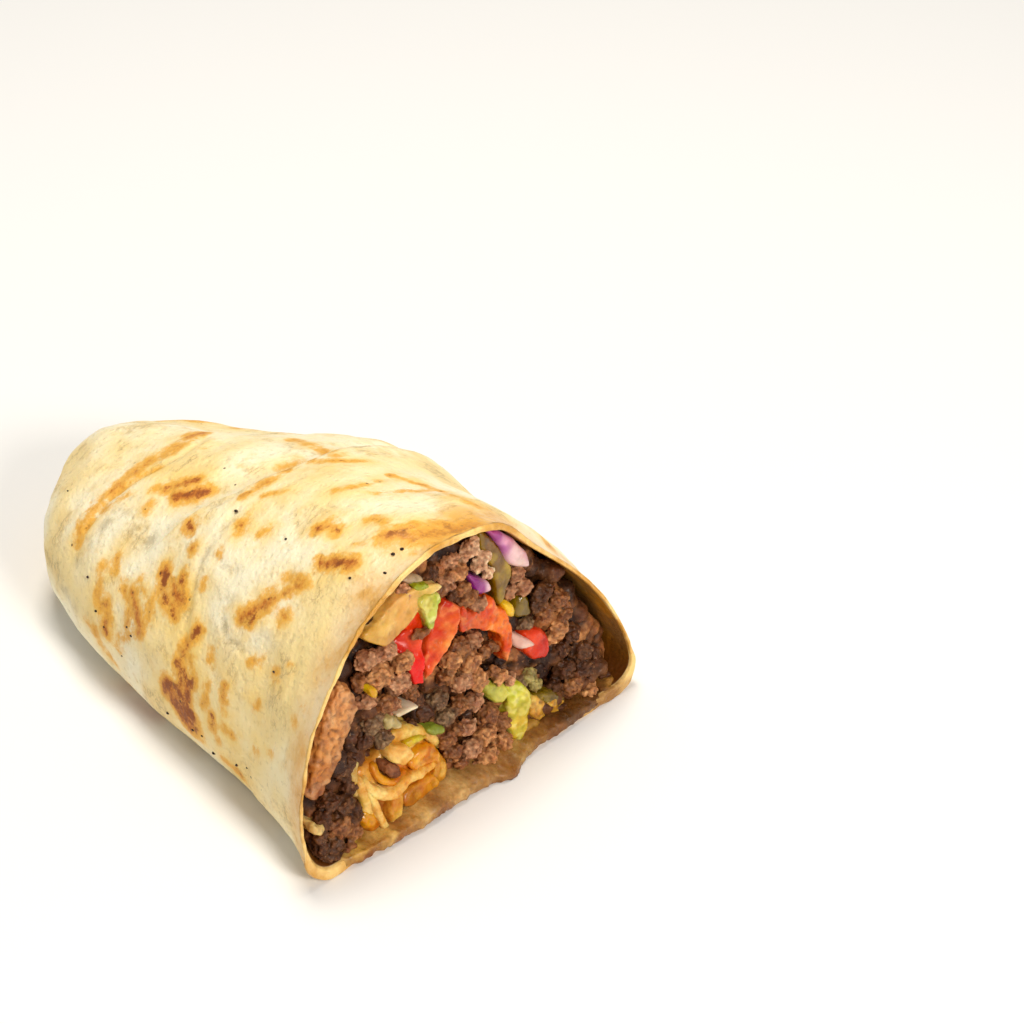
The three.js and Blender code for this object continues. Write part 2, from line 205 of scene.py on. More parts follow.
# One ring of the section, even along its length, denser on top and on the near side.
def ringAt(t, inset):
    side, top, floor = inset
    near = nearSide(t) + side
    far = farSide(t) - side
    high = topHeight(t) - top
    ridge = near + section["ridgeShare"](t) * (far - near)
    reach = max(section["cornerReach"](t) - side, section["smallestCorner"])
    nearZ = max(section["nearBelly"](t), floor + section["lowestBelly"])
    farZ = max(section["farBelly"](t), floor + section["lowestBelly"])
    up = np.linspace(0, math.pi / 2, section["steps"], endpoint=False)
    down = math.pi / 2 - up
    flat = np.linspace(0, 1, section["steps"], endpoint=False)[:, None]
    start = np.array([near + reach, floor])
    end = np.array([far - reach, floor])
    line = np.concatenate([
        start + (end - start) * flat,
        quarter(far - reach, farZ, reach, floor - farZ, section["cornerFullness"], down),
        quarter(ridge, farZ, far - ridge, high - farZ, section["farFullness"](t), up),
        quarter(ridge, nearZ, near - ridge, high - nearZ, section["nearFullness"], down),
        quarter(near + reach, nearZ, -reach, floor - nearZ, section["cornerFullness"], up),
        start[None, :],
    ])
    along = lengthsAlong(line)
    share = np.linspace(0, 1, section["columns"], endpoint=False)
    floorShare, farShare = section["floorShare"], section["farShare"]
    place = np.interp(share, [0, floorShare[1], farShare[1], 1], [0, floorShare[0], farShare[0], 1])
    centre = np.array([ridge, floor + (high - floor) * section["coreHeight"]])
    return spreadAlong(line, along, place * along[-1]), centre


def endScale(x, start):
    depth = (x - start) / wrap["endRounding"]
    if depth >= 1:
        return 1.0
    return (1 - (1 - depth) ** wrap["endFullness"]) ** (1 / wrap["endFullness"])


# Points of the skin for many places along the wrap: an array of places, columns and x, y, z.
def skinTable(places, start, inset):
    rows = []
    for x in places:
        t = x / wrap["length"]
        ring, centre = ringAt(t, inset)
        ring = centre + (ring - centre) * endScale(x, start)
        lean = wrap["cutLean"] * t ** 3
        rows.append(np.concatenate([(x - lean * ring[:, 1])[:, None], ring], 1))
    return np.array(rows)


# The smooth outer or inner surface, read at any place along the wrap for each column.
class Skin:
    def __init__(self, start, inset):
        length = wrap["length"]
        step = section["tableStep"]
        firstTurn, turns = section["tableTurns"]
        rounded = start + wrap["endRounding"] * (1 - np.cos(np.linspace(firstTurn, math.pi / 2, turns)))
        straight = np.arange(start + wrap["endRounding"] + step, length + step / 2, step)
        self.places = np.concatenate([rounded, straight])
        self.places[-1] = length
        self.table = skinTable(self.places, start, inset)
        along = np.gradient(self.table, self.places, axis=0)
        around = np.roll(self.table, -1, 1) - np.roll(self.table, 1, 1)
        self.normals = self.unit(np.cross(around, along))

    def unit(self, ways):
        return ways / np.maximum(np.linalg.norm(ways, axis=2, keepdims=True), 1e-9)

    def read(self, x, what):
        columns = np.arange(x.shape[1])[None, :]
        low = np.clip(np.searchsorted(self.places, x) - 1, 0, len(self.places) - 2)
        span = self.places[low + 1] - self.places[low]
        share = np.clip((x - self.places[low]) / span, 0, 1)[..., None]
        return what[low, columns] * (1 - share) + what[low + 1, columns] * share

    def points(self, x):
        return self.read(x, self.table)

    def outward(self, x):
        return self.unit(self.read(x, self.normals))


def noiseAt(points, size, seed):
    shift = Vector((seed * 17.3, seed * 9.1, seed * 5.7))
    values = [noise.noise(Vector(p) / size + shift) for p in points.reshape(-1, 3)]
    return np.array(values).reshape(points.shape[:-1])


# The sum of a few noises, each a size and a height in mm and a seed.
def uneven(points, noises, seed=0):
    return sum(height * noiseAt(points, size, seed + number) for size, height, number in noises)


# The mesh's round cells, 0 in the middle of each.
def grainAt(points, size, seed):
    shift = Vector((seed * 11.7, seed * 3.3, seed * 7.9))
    return np.array([noise.voronoi(Vector(p) / size + shift)[0][0] for p in points])


# A tube of rows and columns from a cone without slope, its vertices put on an array of rows,
# columns and x, y, z, its ends closed to a point. Also gives each vertex's number in the array.
def tubeMesh(points):
    rows, columns = points.shape[:2]
    poles = (Vector(points[0].mean(0)), Vector(points[-1].mean(0)))
    bm = bmesh.new()
    bmesh.ops.create_cone(bm, cap_ends=True, cap_tris=True, segments=columns, radius1=1, radius2=1, depth=1)
    long = [e for e in bm.edges if abs(e.verts[0].co.z - e.verts[1].co.z) > 0.5]
    bmesh.ops.subdivide_edges(bm, edges=long, cuts=rows - 2, use_grid_fill=True)
    keys = []
    for vert in bm.verts:
        x, y, z = vert.co
        if math.hypot(x, y) < 0.5:
            vert.co = poles[0] if z < 0 else poles[1]
            keys.append(-1)
            continue
        row = round((z + 0.5) * (rows - 1))
        column = round(math.atan2(y, x) / (2 * math.pi) * columns) % columns
        vert.co = points[row, column]
        keys.append(row * columns + column)
    bmesh.ops.recalc_face_normals(bm, faces=bm.faces)
    return asMesh(bm, "tube"), keys


def readAll(items, what, size, kind):
    flat = np.empty(len(items) * size, dtype=kind)
    items.foreach_get(what, flat)
    return flat.reshape(-1, size)


def readPoints(mesh):
    return readAll(mesh.vertices, "co", 3, np.float32).astype(float)


def readNormals(mesh):
    return readAll(mesh.vertex_normals, "vector", 3, np.float32).astype(float)


def readEdges(mesh):
    return readAll(mesh.edges, "vertices", 2, np.int32)


def writePoints(mesh, points):
    mesh.vertices.foreach_set("co", np.asarray(points, dtype=np.float32).reshape(-1))
    mesh.update()


# Puts a mesh made in wrap millimetres into the frame, as a piece of the wrap.
def placePiece(mesh, name, material, replaced=None):
    mesh.name = name
    writePoints(mesh, toFrame(readPoints(mesh)))
    mesh.polygons.foreach_set("use_smooth", np.ones(len(mesh.polygons), dtype=bool))
    mesh.materials.clear()
    mesh.materials.append(material)
    piece = linked(name, mesh)
    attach(piece, "root")
    if replaced:
        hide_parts(replaced)


# The photo's camera in wrap millimetres: a way through a pixel, and where it meets the cut.
cameraSpot = np.array(photo["place"]) / mm + np.array(wrap["centre"])


def throughPixel(px, py):
    half = photo["width"] / 2
    way = cameraTurn.to_matrix() @ Vector(((px - half) / photo["focal"], (half - py) / photo["focal"], -1))
    return np.array(way.normalized())


# The point under a pixel, on the plane that lies a setback behind the cut.
def fromPhoto(px, py, setback=0.0):
    way = throughPixel(px, py)
    across = np.array([1.0, 0.0, wrap["cutLean"]])
    reach = (wrap["length"] - setback - across @ cameraSpot) / (across @ way)
    return cameraSpot + way * reach


# How far points are from a broken line.
def distanceToLine(points, line):
    line = [np.asarray(p, float) for p in line]
    if len(line) == 1:
        return np.linalg.norm(points - line[0], axis=-1)
    best = None
    for start, end in zip(line[:-1], line[1:]):
        way = end - start
        share = np.clip((points - start) @ way / max(way @ way, 1e-9), 0, 1)
        gap = np.linalg.norm(points - start - share[..., None] * way, axis=-1)
        best = gap if best is None else np.minimum(best, gap)
    return best


# The outer layer's edge across the top, with its fades as in the solids.
flap = {
    "place": 63.5,
    "straightFrom": 8.0,
    "curve": 0.0165,
    "rise": 1.5,
    "valleyDepth": 1.1,
    "valleyPlace": -4.5,
    "valleyWidth": 4.0,
    "nearFade": (-26.0, -14.0),
    "valleyFade": (-20.0, -6.0),
    "lowFade": (12.0, 24.0),
    "nearLimit": -24.0,
    "firstGuess": 55.0,
    "guesses": 6,
    # the edge's rows: offset along x where it is flat, where it hangs over, share of the rise
    "profile": [
        (-1.6, -1.6, 0.0), (-1.0, -0.9, 0.0), (-0.6, -0.35, 0.0), (-0.3, -0.15, 0.1),
        (0.0, -0.45, 0.35), (0.25, -0.7, 0.65), (0.5, -0.5, 0.93), (0.8, 0.0, 1.06), (1.2, 0.8, 1.02),
    ],
}

tortilla = {
    "endRows": 40,
    "beforeRows": 62,
    "afterRows": 100,
    "innerRows": 26,
    "innerSpread": 1.6,
    "endGap": 0.3,
    "firstTurn": 0.04,
    "freeFrom": (0.5, 6.0),  # heights between which the flat underside lets the noises in
    "noises": ((15, 0.75, 1), (6, 0.36, 2), (2.4, 0.1, 3)),
    "taper": 0.75,  # how much the outer layer loses towards the cut, and how much of its noises
    "calm": 0.85,
    "taperLength": 13.0,
    "taperEnd": 1.0,
    "taperFade": (3.5, 9.0),
    "thicker": 1.4,  # what the wall gains away from the cut, and where
    "thickerFrom": (6, 26),
    "soaked": (7.5, 0.5),
    "layer": 1.3,
    "thickRim": (2.4, 3.6),
}

rimForm = {
    "rows": 15,
    "round": 0.5,
    "ragged": ((4.0, 0.35, 5), (1.6, 0.2, 6)),
    "rough": ((1.3, 0.25, 7),),
    "roughFade": (0.2, 0.9),
    "groove": 0.06,  # the rolled layers show as grooves where the wall is thick
    "grooveFade": (2.6, 4.0),
}

# Where the visible skin leaves the solids' form, in mm. Spots near the cut: place y, z, reach, depth.
drawIn = {
    "from": 88.0,
    "spots": [
        (-12, 50, 12, 0.85), (-28, 42, 12, 0.2), (-42, 16, 12, -0.9), (-38, 31, 8, -0.4), (9, 49, 8, -2.8),
    ],
}
sink = {"depth": 4.0, "place": 22, "width": 24, "across": (0, 18), "up": (14, 30)}
endPull = {"near": 2.6, "far": -0.6, "across": (-14, 14), "along": (20, 3), "up": (2, 12), "top": (36, 24)}
shoulder = {"height": 2.4, "place": 4, "width": 9, "up": (12, 22), "across": (8, -6)}


def flapEdge(y):
    inwards = np.minimum(np.maximum(y, flap["nearLimit"]) - flap["straightFrom"], 0)
    return flap["place"] - flap["curve"] * inwards ** 2


def drawnIn(points, x):
    depth = 0
    for y, z, reach, most in drawIn["spots"]:
        away = ((points[..., 1] - y) / reach) ** 2 + ((points[..., 2] - z) / reach) ** 2
        depth = depth + most * np.exp(-away)
    return depth * smoothStep(drawIn["from"], wrap["length"], x)


# How far the closed end's top sinks on the far side.
def sunk(points):
    x, y, z = points[..., 0], points[..., 1], points[..., 2]
    share = smoothStep(*sink["across"], y) * smoothStep(*sink["up"], z)
    return sink["depth"] * bump(x, sink["place"], sink["width"]) * share


# How far the closed end moves outwards: in at its sides, and out at the near shoulder.
def endMoved(points):
    x, y, z = points[..., 0], points[..., 1], points[..., 2]
    pull = endPull["near"] + (endPull["far"] - endPull["near"]) * smoothStep(*endPull["across"], y)
    pull = pull * smoothStep(*endPull["along"], x)
    pull = pull * smoothStep(*endPull["up"], z) * smoothStep(*endPull["top"], z)
    full = shoulder["height"] * bump(x, shoulder["place"], shoulder["width"])
    return full * smoothStep(*shoulder["up"], z) * smoothStep(*shoulder["across"], y) - pull


# Places along the wrap for the outer rows of each column, the flap's edge, and the share of its rise.
def outerRows(outer):
    columns = section["columns"]
    edge = np.full((1, columns), flap["firstGuess"])
    for _ in range(flap["guesses"]):
        edge = flapEdge(outer.points(edge)[..., 1])
    atEdge = outer.points(edge)
    hanging = smoothStep(*flap["nearFade"], atEdge[..., 1]) * smoothStep(*flap["lowFade"], atEdge[..., 2])
    turns = np.linspace(tortilla["firstTurn"], math.pi / 2, tortilla["endRows"])
    endPlaces = wrap["endRounding"] * (1 - np.cos(turns))
    before = np.linspace(0, 1, tortilla["beforeRows"] + 1)[1:-1, None]
    after = np.linspace(0, 1, tortilla["afterRows"] + 1)[1:, None]
    flat, fold, rise = (np.array(column)[:, None] for column in zip(*flap["profile"]))
    last = wrap["length"] - rimForm["round"]
    x = np.concatenate([
        np.repeat(endPlaces[:, None], columns, 1),
        wrap["endRounding"] + (edge + flat[0] - wrap["endRounding"]) * before,
        edge + flat + (fold - flat) * hanging,
        edge + flat[-1] + (last - edge - flat[-1]) * after,
    ])
    step = np.concatenate([
        np.zeros((len(endPlaces) + len(before), columns)),
        rise * np.ones((1, columns)),
        np.ones((len(after), columns)),
    ])
    return x, edge, step


# How far the outer rows stand off the smooth form: the flap, the noises, and the thin edge at the cut.
def outerLift(points, x, edge, step):
    y, z = points[..., 1], points[..., 2]
    length = wrap["length"]
    pastEdge = x - edge
    lift = flap["rise"] * step * smoothStep(*flap["nearFade"], y)
    valley = flap["valleyDepth"] * bump(pastEdge, flap["valleyPlace"], flap["valleyWidth"])
    lift = lift - valley * smoothStep(*flap["valleyFade"], y) * (pastEdge < 0)
    lift = lift * smoothStep(*flap["lowFade"], z)
    lift = lift + smoothStep(*tortilla["freeFrom"], z) * uneven(points, tortilla["noises"])
    thin = smoothStep(length - tortilla["taperLength"], length - tortilla["taperEnd"], x)
    thin = thin * smoothStep(*tortilla["taperFade"], z)
    lift = lift * (1 - thin * tortilla["calm"]) - tortilla["taper"] * thin - drawnIn(points, x)
    return lift - sunk(points) + endMoved(points)


# The rim's rows, over the cut's face from the outer layer to the inner one, and its thickness.
def rimRows(outer, inner, lift):
    end = np.full((1, section["columns"]), wrap["length"])
    outerRim = (outer.points(end) + outer.outward(end) * lift[..., None])[0]
    innerRim = inner.points(end)
    innerRim = (innerRim - inner.outward(end) * drawnIn(innerRim, end)[..., None])[0]
    across = innerRim - outerRim
    thickness = np.linalg.norm(across, axis=1)
    inwards = across / thickness[:, None]
    most = rimForm["round"]
    ragged = uneven(outerRim, rimForm["ragged"])
    thick = smoothStep(*rimForm["grooveFade"], thickness)
    rows = []
    for share in np.linspace(0, 1, rimForm["rows"]):
        depth = share * thickness
        fromSide = np.minimum(depth, thickness - depth)
        back = most - np.sqrt(np.maximum(most ** 2 - np.maximum(most - fromSide, 0) ** 2, 0))
        place = outerRim + inwards * depth[:, None]
        relief = rimForm["groove"] * np.cos(depth / tortilla["layer"] * 2 * math.pi) * thick
        relief = relief + uneven(place, rimForm["rough"])
        place[:, 0] += ragged + relief * smoothStep(*rimForm["roughFade"], fromSide) - back
        rows.append(place)
    return np.array(rows), thickness[None, :]


# The rows inside the wall, from the rim to its closed end.
def innerRows(inner):
    first = wrap["length"] - rimForm["round"]
    last = wrap["wallEnd"] + tortilla["endGap"]
    share = np.linspace(0, 1, tortilla["innerRows"] + 1)[1:, None] ** tortilla["innerSpread"]
    x = np.repeat(first + (last - first) * share, section["columns"], 1)
    points = inner.points(x)
    thinFrom, thickFrom = tortilla["thickerFrom"]
    thicker = tortilla["thicker"] * smoothStep(wrap["length"] - thinFrom, wrap["length"] - thickFrom, x)
    return points - inner.outward(x) * (drawnIn(points, x) + thicker + sunk(points))[..., None]


# The tree of a tube's faces, their fronts outwards, or inwards where it is flipped.
def gridTree(points, flipped=False):
    rows, columns = points.shape[:2]
    faces = []
    for row in range(rows - 1):
        for column in range(columns):
            here, beside = row * columns + column, row * columns + (column + 1) % columns
            face = (here, beside, beside + columns, here + columns)
            faces.append(face[:1] + face[:0:-1] if flipped else face)
    return BVHTree.FromPolygons([Vector(p) for p in points.reshape(-1, 3)], faces)


# Toast marks as strokes of the pan: width in photo pixels, strength, darkness, then the line's pixels.
marks = {
    "softness": 1.6,
    "glow": 3.2,
    "glowFrom": 0.5,
    "broader": 1.42,
    "sampleStep": 9,
    "greyFade": (1.6, 0.4),
    "strokes": [
        (17, 0.62, 0.0, (198, 433), (184, 440), (166, 453), (150, 462), (136, 472)),
        (12, 0.66, 0.05, (140, 470), (124, 482), (108, 494), (96, 506), (84, 522), (78, 538)),
        (4, 0.9, 0.35, (160, 466), (144, 473), (128, 482), (108, 498), (95, 511), (84, 528)),
        (5, 0.85, 0.5, (100, 509), (128, 496)), (6, 0.9, 0.4, (154, 488), (170, 484)),
        (10, 1.0, 0.5, (168, 487), (197, 481)), (14, 1.0, 0.5, (178, 496), (205, 492)),
        (8, 0.45, 0.0, (206, 448)), (11, 1.0, 0.5, (189, 525), (192, 528)), (8, 0.9, 0.4, (192, 548)),
        (10, 0.95, 0.4, (241, 526), (241, 531)), (7, 0.8, 0.3, (259, 536), (270, 529)),
        (8, 0.5, 0.0, (219, 553)), (8, 0.85, 0.45, (117, 556), (116, 569)),
        (4, 0.7, 0.3, (120, 581), (130, 597)), (13, 0.9, 0.3, (133, 594), (136, 612), (139, 631)),
        (10, 0.75, 0.2, (124, 588), (130, 606), (128, 622)), (9, 0.7, 0.1, (150, 602), (148, 624)),
        (6, 0.7, 0.3, (146, 621)), (6, 0.8, 0.4, (141, 581), (146, 594)),
        (6, 0.7, 0.4, (100, 577), (102, 566)), (8, 0.85, 0.5, (98, 591), (101, 611)),
        (11, 0.9, 0.45, (106, 604), (106, 631)), (12, 1.0, 0.7, (166, 570), (162, 588)),
        (12, 1.0, 0.6, (164, 588), (168, 604)), (10, 1.0, 0.6, (183, 576), (184, 600)),
        (9, 0.95, 0.5, (172, 602), (173, 616)), (12, 0.9, 0.4, (172, 585), (178, 600)),
        (4, 0.7, 0.3, (203, 587), (205, 579)), (8, 0.9, 0.35, (277, 596), (299, 587)),
        (15, 0.95, 0.35, (245, 615), (258, 607), (272, 599)), (7, 1.0, 0.8, (262, 609), (251, 622)),
        (12, 0.85, 0.3, (284, 617)), (8, 0.6, 0.1, (285, 579), (310, 581)),
        (8, 0.8, 0.25, (246, 495), (269, 481), (295, 466)),
        (4, 0.7, 0.3, (251, 511), (264, 496), (285, 491)),
        (6, 0.8, 0.5, (194, 629), (188, 654), (189, 664)), (5, 0.6, 0.2, (214, 652), (212, 664)),
        (8, 0.7, 0.2, (252, 660), (260, 660)), (10, 1.0, 0.7, (198, 629), (184, 652)),
        (9, 1.0, 0.7, (190, 657), (192, 686)), (9, 0.95, 0.6, (179, 663), (181, 686)),
        (20, 1.0, 0.55, (168, 688), (178, 706), (190, 724)),
        (14, 1.0, 0.75, (178, 690), (190, 715), (196, 732)), (13, 1.0, 0.6, (185, 670), (188, 700)),
        (6, 0.85, 0.5, (213, 650), (211, 661)), (6, 0.9, 0.5, (209, 684), (205, 699)),
        (8, 0.8, 0.4, (202, 703)), (7, 0.9, 0.5, (224, 690), (224, 709)),
        (5, 1.0, 0.9, (213, 717), (212, 728)), (5, 0.7, 0.3, (217, 740)), (9, 0.75, 0.2, (276, 675)),
        (8, 0.45, 0.0, (291, 667)), (9, 0.75, 0.2, (257, 707)), (8, 0.45, 0.0, (264, 715)),
        (6, 0.7, 0.3, (255, 751)), (6, 0.7, 0.3, (270, 753)), (10, 0.45, 0.0, (295, 722)),
        (5, 0.6, 0.2, (303, 707)), (5, 0.6, 0.2, (303, 753)), (2, 0.9, 0.5, (222, 726), (234, 738)),
        (7, 0.85, 0.5, (223, 759), (244, 778)), (8, 0.6, 0.3, (88, 624), (95, 631)),
        (6, 0.65, 0.3, (101, 645), (115, 664)), (12, 0.45, 0.0, (137, 625), (117, 646)),
        (9, 1.0, 0.6, (318, 529), (328, 523), (338, 531)), (7, 0.9, 0.4, (370, 520), (384, 520)),
        (12, 1.0, 0.5, (320, 563), (350, 563)), (6, 0.5, 0.0, (283, 583), (297, 580)),
        (18, 0.85, 0.1, (386, 536), (420, 536), (450, 531), (470, 526)),
        (8, 1.0, 0.9, (390, 533), (416, 527)), (6, 1.0, 0.95, (418, 539), (446, 527)),
        (5, 1.0, 0.9, (436, 524), (450, 524)), (7, 1.0, 0.9, (446, 535), (467, 529)),
        (5, 1.0, 0.8, (421, 543), (434, 543)), (6, 0.5, 0.1, (416, 553), (424, 553)),
        (5, 0.7, 0.2, (336, 490), (358, 486), (379, 481)),
        (5, 0.75, 0.3, (374, 493), (400, 492), (426, 491)),
        (5, 0.85, 0.5, (393, 476), (423, 485), (455, 496), (487, 510)),
        (4, 0.8, 0.5, (280, 468), (301, 462), (335, 461), (367, 461)),
        (7, 0.75, 0.3, (293, 440), (315, 446), (336, 455)), (6, 0.45, 0.0, (355, 543), (366, 543)),
        (6, 0.4, 0.0, (396, 571)), (7, 0.6, 0.1, (145, 512), (150, 505)),
    ],
    # grey strokes: painted shade along the creases and in the recesses, partly the filling showing grey
    # through the thin dough; width in photo pixels, strength, then the line's pixels
    "grey": [
        (9, 0.8, (223, 619), (226, 639), (241, 650)), (24, 0.5, (133, 501), (105, 528), (80, 554)),
        (22, 0.55, (140, 531), (150, 540)), (10, 0.5, (239, 491), (219, 503), (189, 510)),
        (7, 0.6, (236, 511), (206, 548), (189, 606), (184, 631)), (8, 0.5, (234, 573), (216, 559)),
        (8, 0.4, (299, 489), (306, 492)), (5, 0.6, (330, 505), (341, 510)),
        (16, 0.4, (215, 590), (235, 600)), (20, 0.35, (260, 640), (290, 640)),
        (18, 0.35, (60, 580), (75, 610)),
    ],
    "creases": [
        # depth in mm, width in mm, pixels
        (0.55, 0.8, (205, 437), (181, 455), (156, 468), (133, 481), (111, 498), (98, 513), (85, 529)),
        (0.35, 0.9, (239, 491), (219, 503), (189, 512)),
        (0.32, 0.9, (236, 511), (206, 548), (193, 580), (189, 606), (184, 638)),
        (0.3, 0.8, (223, 619), (226, 639), (241, 650)), (0.25, 0.9, (234, 573), (216, 559), (205, 552)),
        (0.22, 1.1, (300, 640), (290, 700), (270, 750)), (0.2, 1.0, (330, 600), (352, 560), (395, 556)),
    ],
    "specks": [
        (104, 627), (127, 627), (131, 636), (122, 656), (202, 736), (214, 753), (168, 713), (193, 730),
        (237, 765), (96, 611), (274, 672), (88, 577), (68, 491), (236, 511), (393, 554), (402, 549),
        (286, 539), (350, 578), (385, 573), (247, 768),
    ],
    # strokes on the sides that don't show: how many, lowest z, half length, half width, strength, darkness
    "hidden": 70,
    "hiddenAbove": 2.0,
    "hiddenReach": (0.2, 4.5),
    "hiddenHalf": (0.5, 1.7),
    "hiddenGlow": 0.8,
    "hiddenStrength": (0.5, 1),
    "hiddenDark": (0.1, 0.7),
}


# Pixels along a stroke, put on the skin.
def onSkin(tree, pixels):
    found = []
    dense = [pixels[0]]
    for (ax, ay), (bx, by) in zip(pixels[:-1], pixels[1:]):
        count = max(int(math.hypot(bx - ax, by - ay) / marks["sampleStep"]), 1)
        dense += [(ax + (bx - ax) * k / count, ay + (by - ay) * k / count) for k in range(1, count + 1)]
    for px, py in dense:
        hit = tree.ray_cast(Vector(cameraSpot), Vector(throughPixel(px, py)))[0]
        if hit is not None:
            found.append(np.array(hit))
    return found


def halfWidth(width, line):
    return width / 2 * np.linalg.norm(line[0] - cameraSpot) / photo["focal"]


def strokeCover(half, gap):
    return np.clip(0.5 + (half - gap) / (2 * marks["softness"]), 0, 1)


# The toast marks' values, and the grey strokes' painted shade, at every point of the outer rows.
class Toast:
    def __init__(self, shape):
        self.shape = shape
        self.values = {name: np.zeros(shape.shape[:2]) for name in ("toast", "brown", "grey", "glow")}

    def keep(self, name, value):
        self.values[name] = np.maximum(self.values[name], value)

    def addShown(self, tree):
        for width, strength, dark, *pixels in marks["strokes"]:
            line = onSkin(tree, pixels)
            if line:
                half = halfWidth(width, line) * marks["broader"]
                gap = distanceToLine(self.shape, line)
                cover = strokeCover(half, gap)
                self.keep("toast", cover * strength)
                self.keep("brown", cover * dark)
                past = np.maximum(gap - half * marks["glowFrom"], 0)
                self.keep("glow", strength * bump(past, 0, marks["glow"]))
        # the grey strokes: painted shade along the creases and recesses, partly the filling showing through
        for width, strength, *pixels in marks["grey"]:
            line = onSkin(tree, pixels)
            if line:
                far, near = (halfWidth(width, line) * share for share in marks["greyFade"])
                self.keep("grey", strength * smoothStep(far, near, distanceToLine(self.shape, line)))

    def addHidden(self, out, height):
        chance = random.Random(41)
        away = (out * (cameraSpot - self.shape)).sum(2) < 0
        spots = np.argwhere(away & (height > marks["hiddenAbove"]))
        for _ in range(marks["hidden"]):
            row, column = spots[chance.randrange(len(spots))]
            way = np.array([chance.gauss(0, 1), chance.gauss(0, 1), chance.gauss(0, 1)])
            way -= out[row, column] * (way @ out[row, column])
            way *= chance.uniform(*marks["hiddenReach"]) / np.linalg.norm(way)
            spot = self.shape[row, column]
            gap = distanceToLine(self.shape, [spot - way, spot + way])
            cover = strokeCover(chance.uniform(*marks["hiddenHalf"]), gap) * away
            self.keep("glow", marks["hiddenGlow"] * bump(gap, 0, marks["glow"]) * away)
            self.keep("toast", cover * chance.uniform(*marks["hiddenStrength"]))
            self.keep("brown", cover * chance.uniform(*marks["hiddenDark"]))


# The tortilla, and the tree of its inner wall and the places of the specks, for the pieces after it.
def makeTortilla(material):
    outer = Skin(0.0, outside)
    inner = Skin(wrap["wallEnd"], inside)
    x, edge, step = outerRows(outer)
    points = outer.points(x)
    out = outer.outward(x)
    height = points[..., 2]
    free = smoothStep(*tortilla["freeFrom"], height)
    lift = outerLift(points, x, edge, step)
    shape = points + out * lift[..., None]
    tree = gridTree(shape)
    points = shape
    for depth, width, *pixels in marks["creases"]:
        line = onSkin(tree, pixels)
        if line:
            points = points - out * (depth * bump(distanceToLine(shape, line), 0, width) * free)[..., None]
    toast = Toast(shape)
    toast.addShown(tree)
    toast.addHidden(out, height)
    rim, thickness = rimRows(outer, inner, lift[-1:])
    wall = innerRows(inner)

    # one value for each point: on the outer rows, the rim and the inner rows
    def overAll(*parts):
        both = zip(parts, (points, rim, wall))
        return np.concatenate([np.broadcast_to(part, rows.shape[:2]) for part, rows in both])

    dry, wet = tortilla["soaked"]
    soaked = smoothStep(wrap["length"] - dry, wrap["length"] - wet, x + wrap["cutLean"] * points[..., 2])
    values = {name: overAll(value, 0.0, 0.0) for name, value in toast.values.items()}
    values["soaked"] = overAll(soaked, 1.0, 1.0)
    values["inner"] = overAll(0.0, 0.5, 1.0)
    values["thick"] = overAll(0.0, smoothStep(*tortilla["thickRim"], thickness), 0.0)
    values["rimDepth"] = overAll(0.0, np.linspace(0, 1, rimForm["rows"])[:, None] * thickness, thickness)
    mesh, keys = tubeMesh(np.concatenate([points, rim, wall]))
    for name, table in values.items():
        flat = np.append(table.reshape(-1), 0.0)  # the last one is for the poles, whose key is -1
        mesh.attributes.new(name, "FLOAT", "POINT").data.foreach_set("value", flat[keys].astype(np.float32))
    print("tortilla", len(mesh.polygons), "faces")
    placePiece(mesh, "tortillaWrap", material, "tortilla")
    specks = [spot for pixel in marks["specks"] for spot in onSkin(tree, [pixel])]
    return gridTree(wall, flipped=True), specks


# Makes shader nodes, each method one kind of them, and most give back the socket that comes out.
class NodeMaker:
    def __init__(self, tree):
        self.tree = tree

    def add(self, kind, inputs=None, **settings):
        node = self.tree.nodes.new("ShaderNode" + kind)
        for name, value in settings.items():
            setattr(node, name, value)
        for key, value in (inputs or {}).items():
            if isinstance(value, bpy.types.NodeSocket):
                self.tree.links.new(value, node.inputs[key])
            else:
                node.inputs[key].default_value = value
        return node

    def mix(self, share, low, high, blend="MIX"):
        return self.add("Mix", {0: share, 6: low, 7: high}, data_type="RGBA", blend_type=blend).outputs[2]

    def math(self, what, low, high=0.0, clamp=False):
        return self.add("Math", {0: low, 1: high}, operation=what, use_clamp=clamp).outputs[0]

    def times(self, low, high, clamp=False):
        return self.math("MULTIPLY", low, high, clamp)

    def plus(self, low, high):
        return self.math("ADD", low, high)

    def minus(self, high, low, clamp=False):
        return self.math("SUBTRACT", high, low, clamp)

    def off(self, value, middle=0.5):
        return self.math("ABSOLUTE", self.minus(value, middle))

    def step(self, value, low, high):
        spans = {"Value": value, "From Min": low, "From Max": high}
        return self.add("MapRange", spans, interpolation_type="SMOOTHSTEP").outputs["Result"]

    def noise(self, place, scale, detail=3.0, rough=0.5):
        made = self.add("TexNoise", {"Vector": place, "Scale": scale, "Detail": detail, "Roughness": rough})
        return made.outputs["Fac"]

    def cells(self, place, scale, feature="F1"):
        return self.add("TexVoronoi", {"Vector": place, "Scale": scale}, feature=feature).outputs["Distance"]

    def read(self, name):
        return self.add("Attribute", attribute_name=name).outputs["Fac"]

    def place(self):
        return self.add("TexCoord").outputs["Object"]

    def relief(self, height, strength, distance):
        bumped = self.add("Bump", {"Height": height, "Strength": strength, "Distance": distance})
        return bumped.outputs["Normal"]

    def finish(self, shader, links, values):
        for name, socket in links.items():
            self.tree.links.new(socket, shader.inputs[name])
        for name, value in values.items():
            shader.inputs[name].default_value = value


def newMaterial(name):
    material = bpy.data.materials.new(name)
    material.use_nodes = True
    return material, NodeMaker(material.node_tree), material.node_tree.nodes["Principled BSDF"]


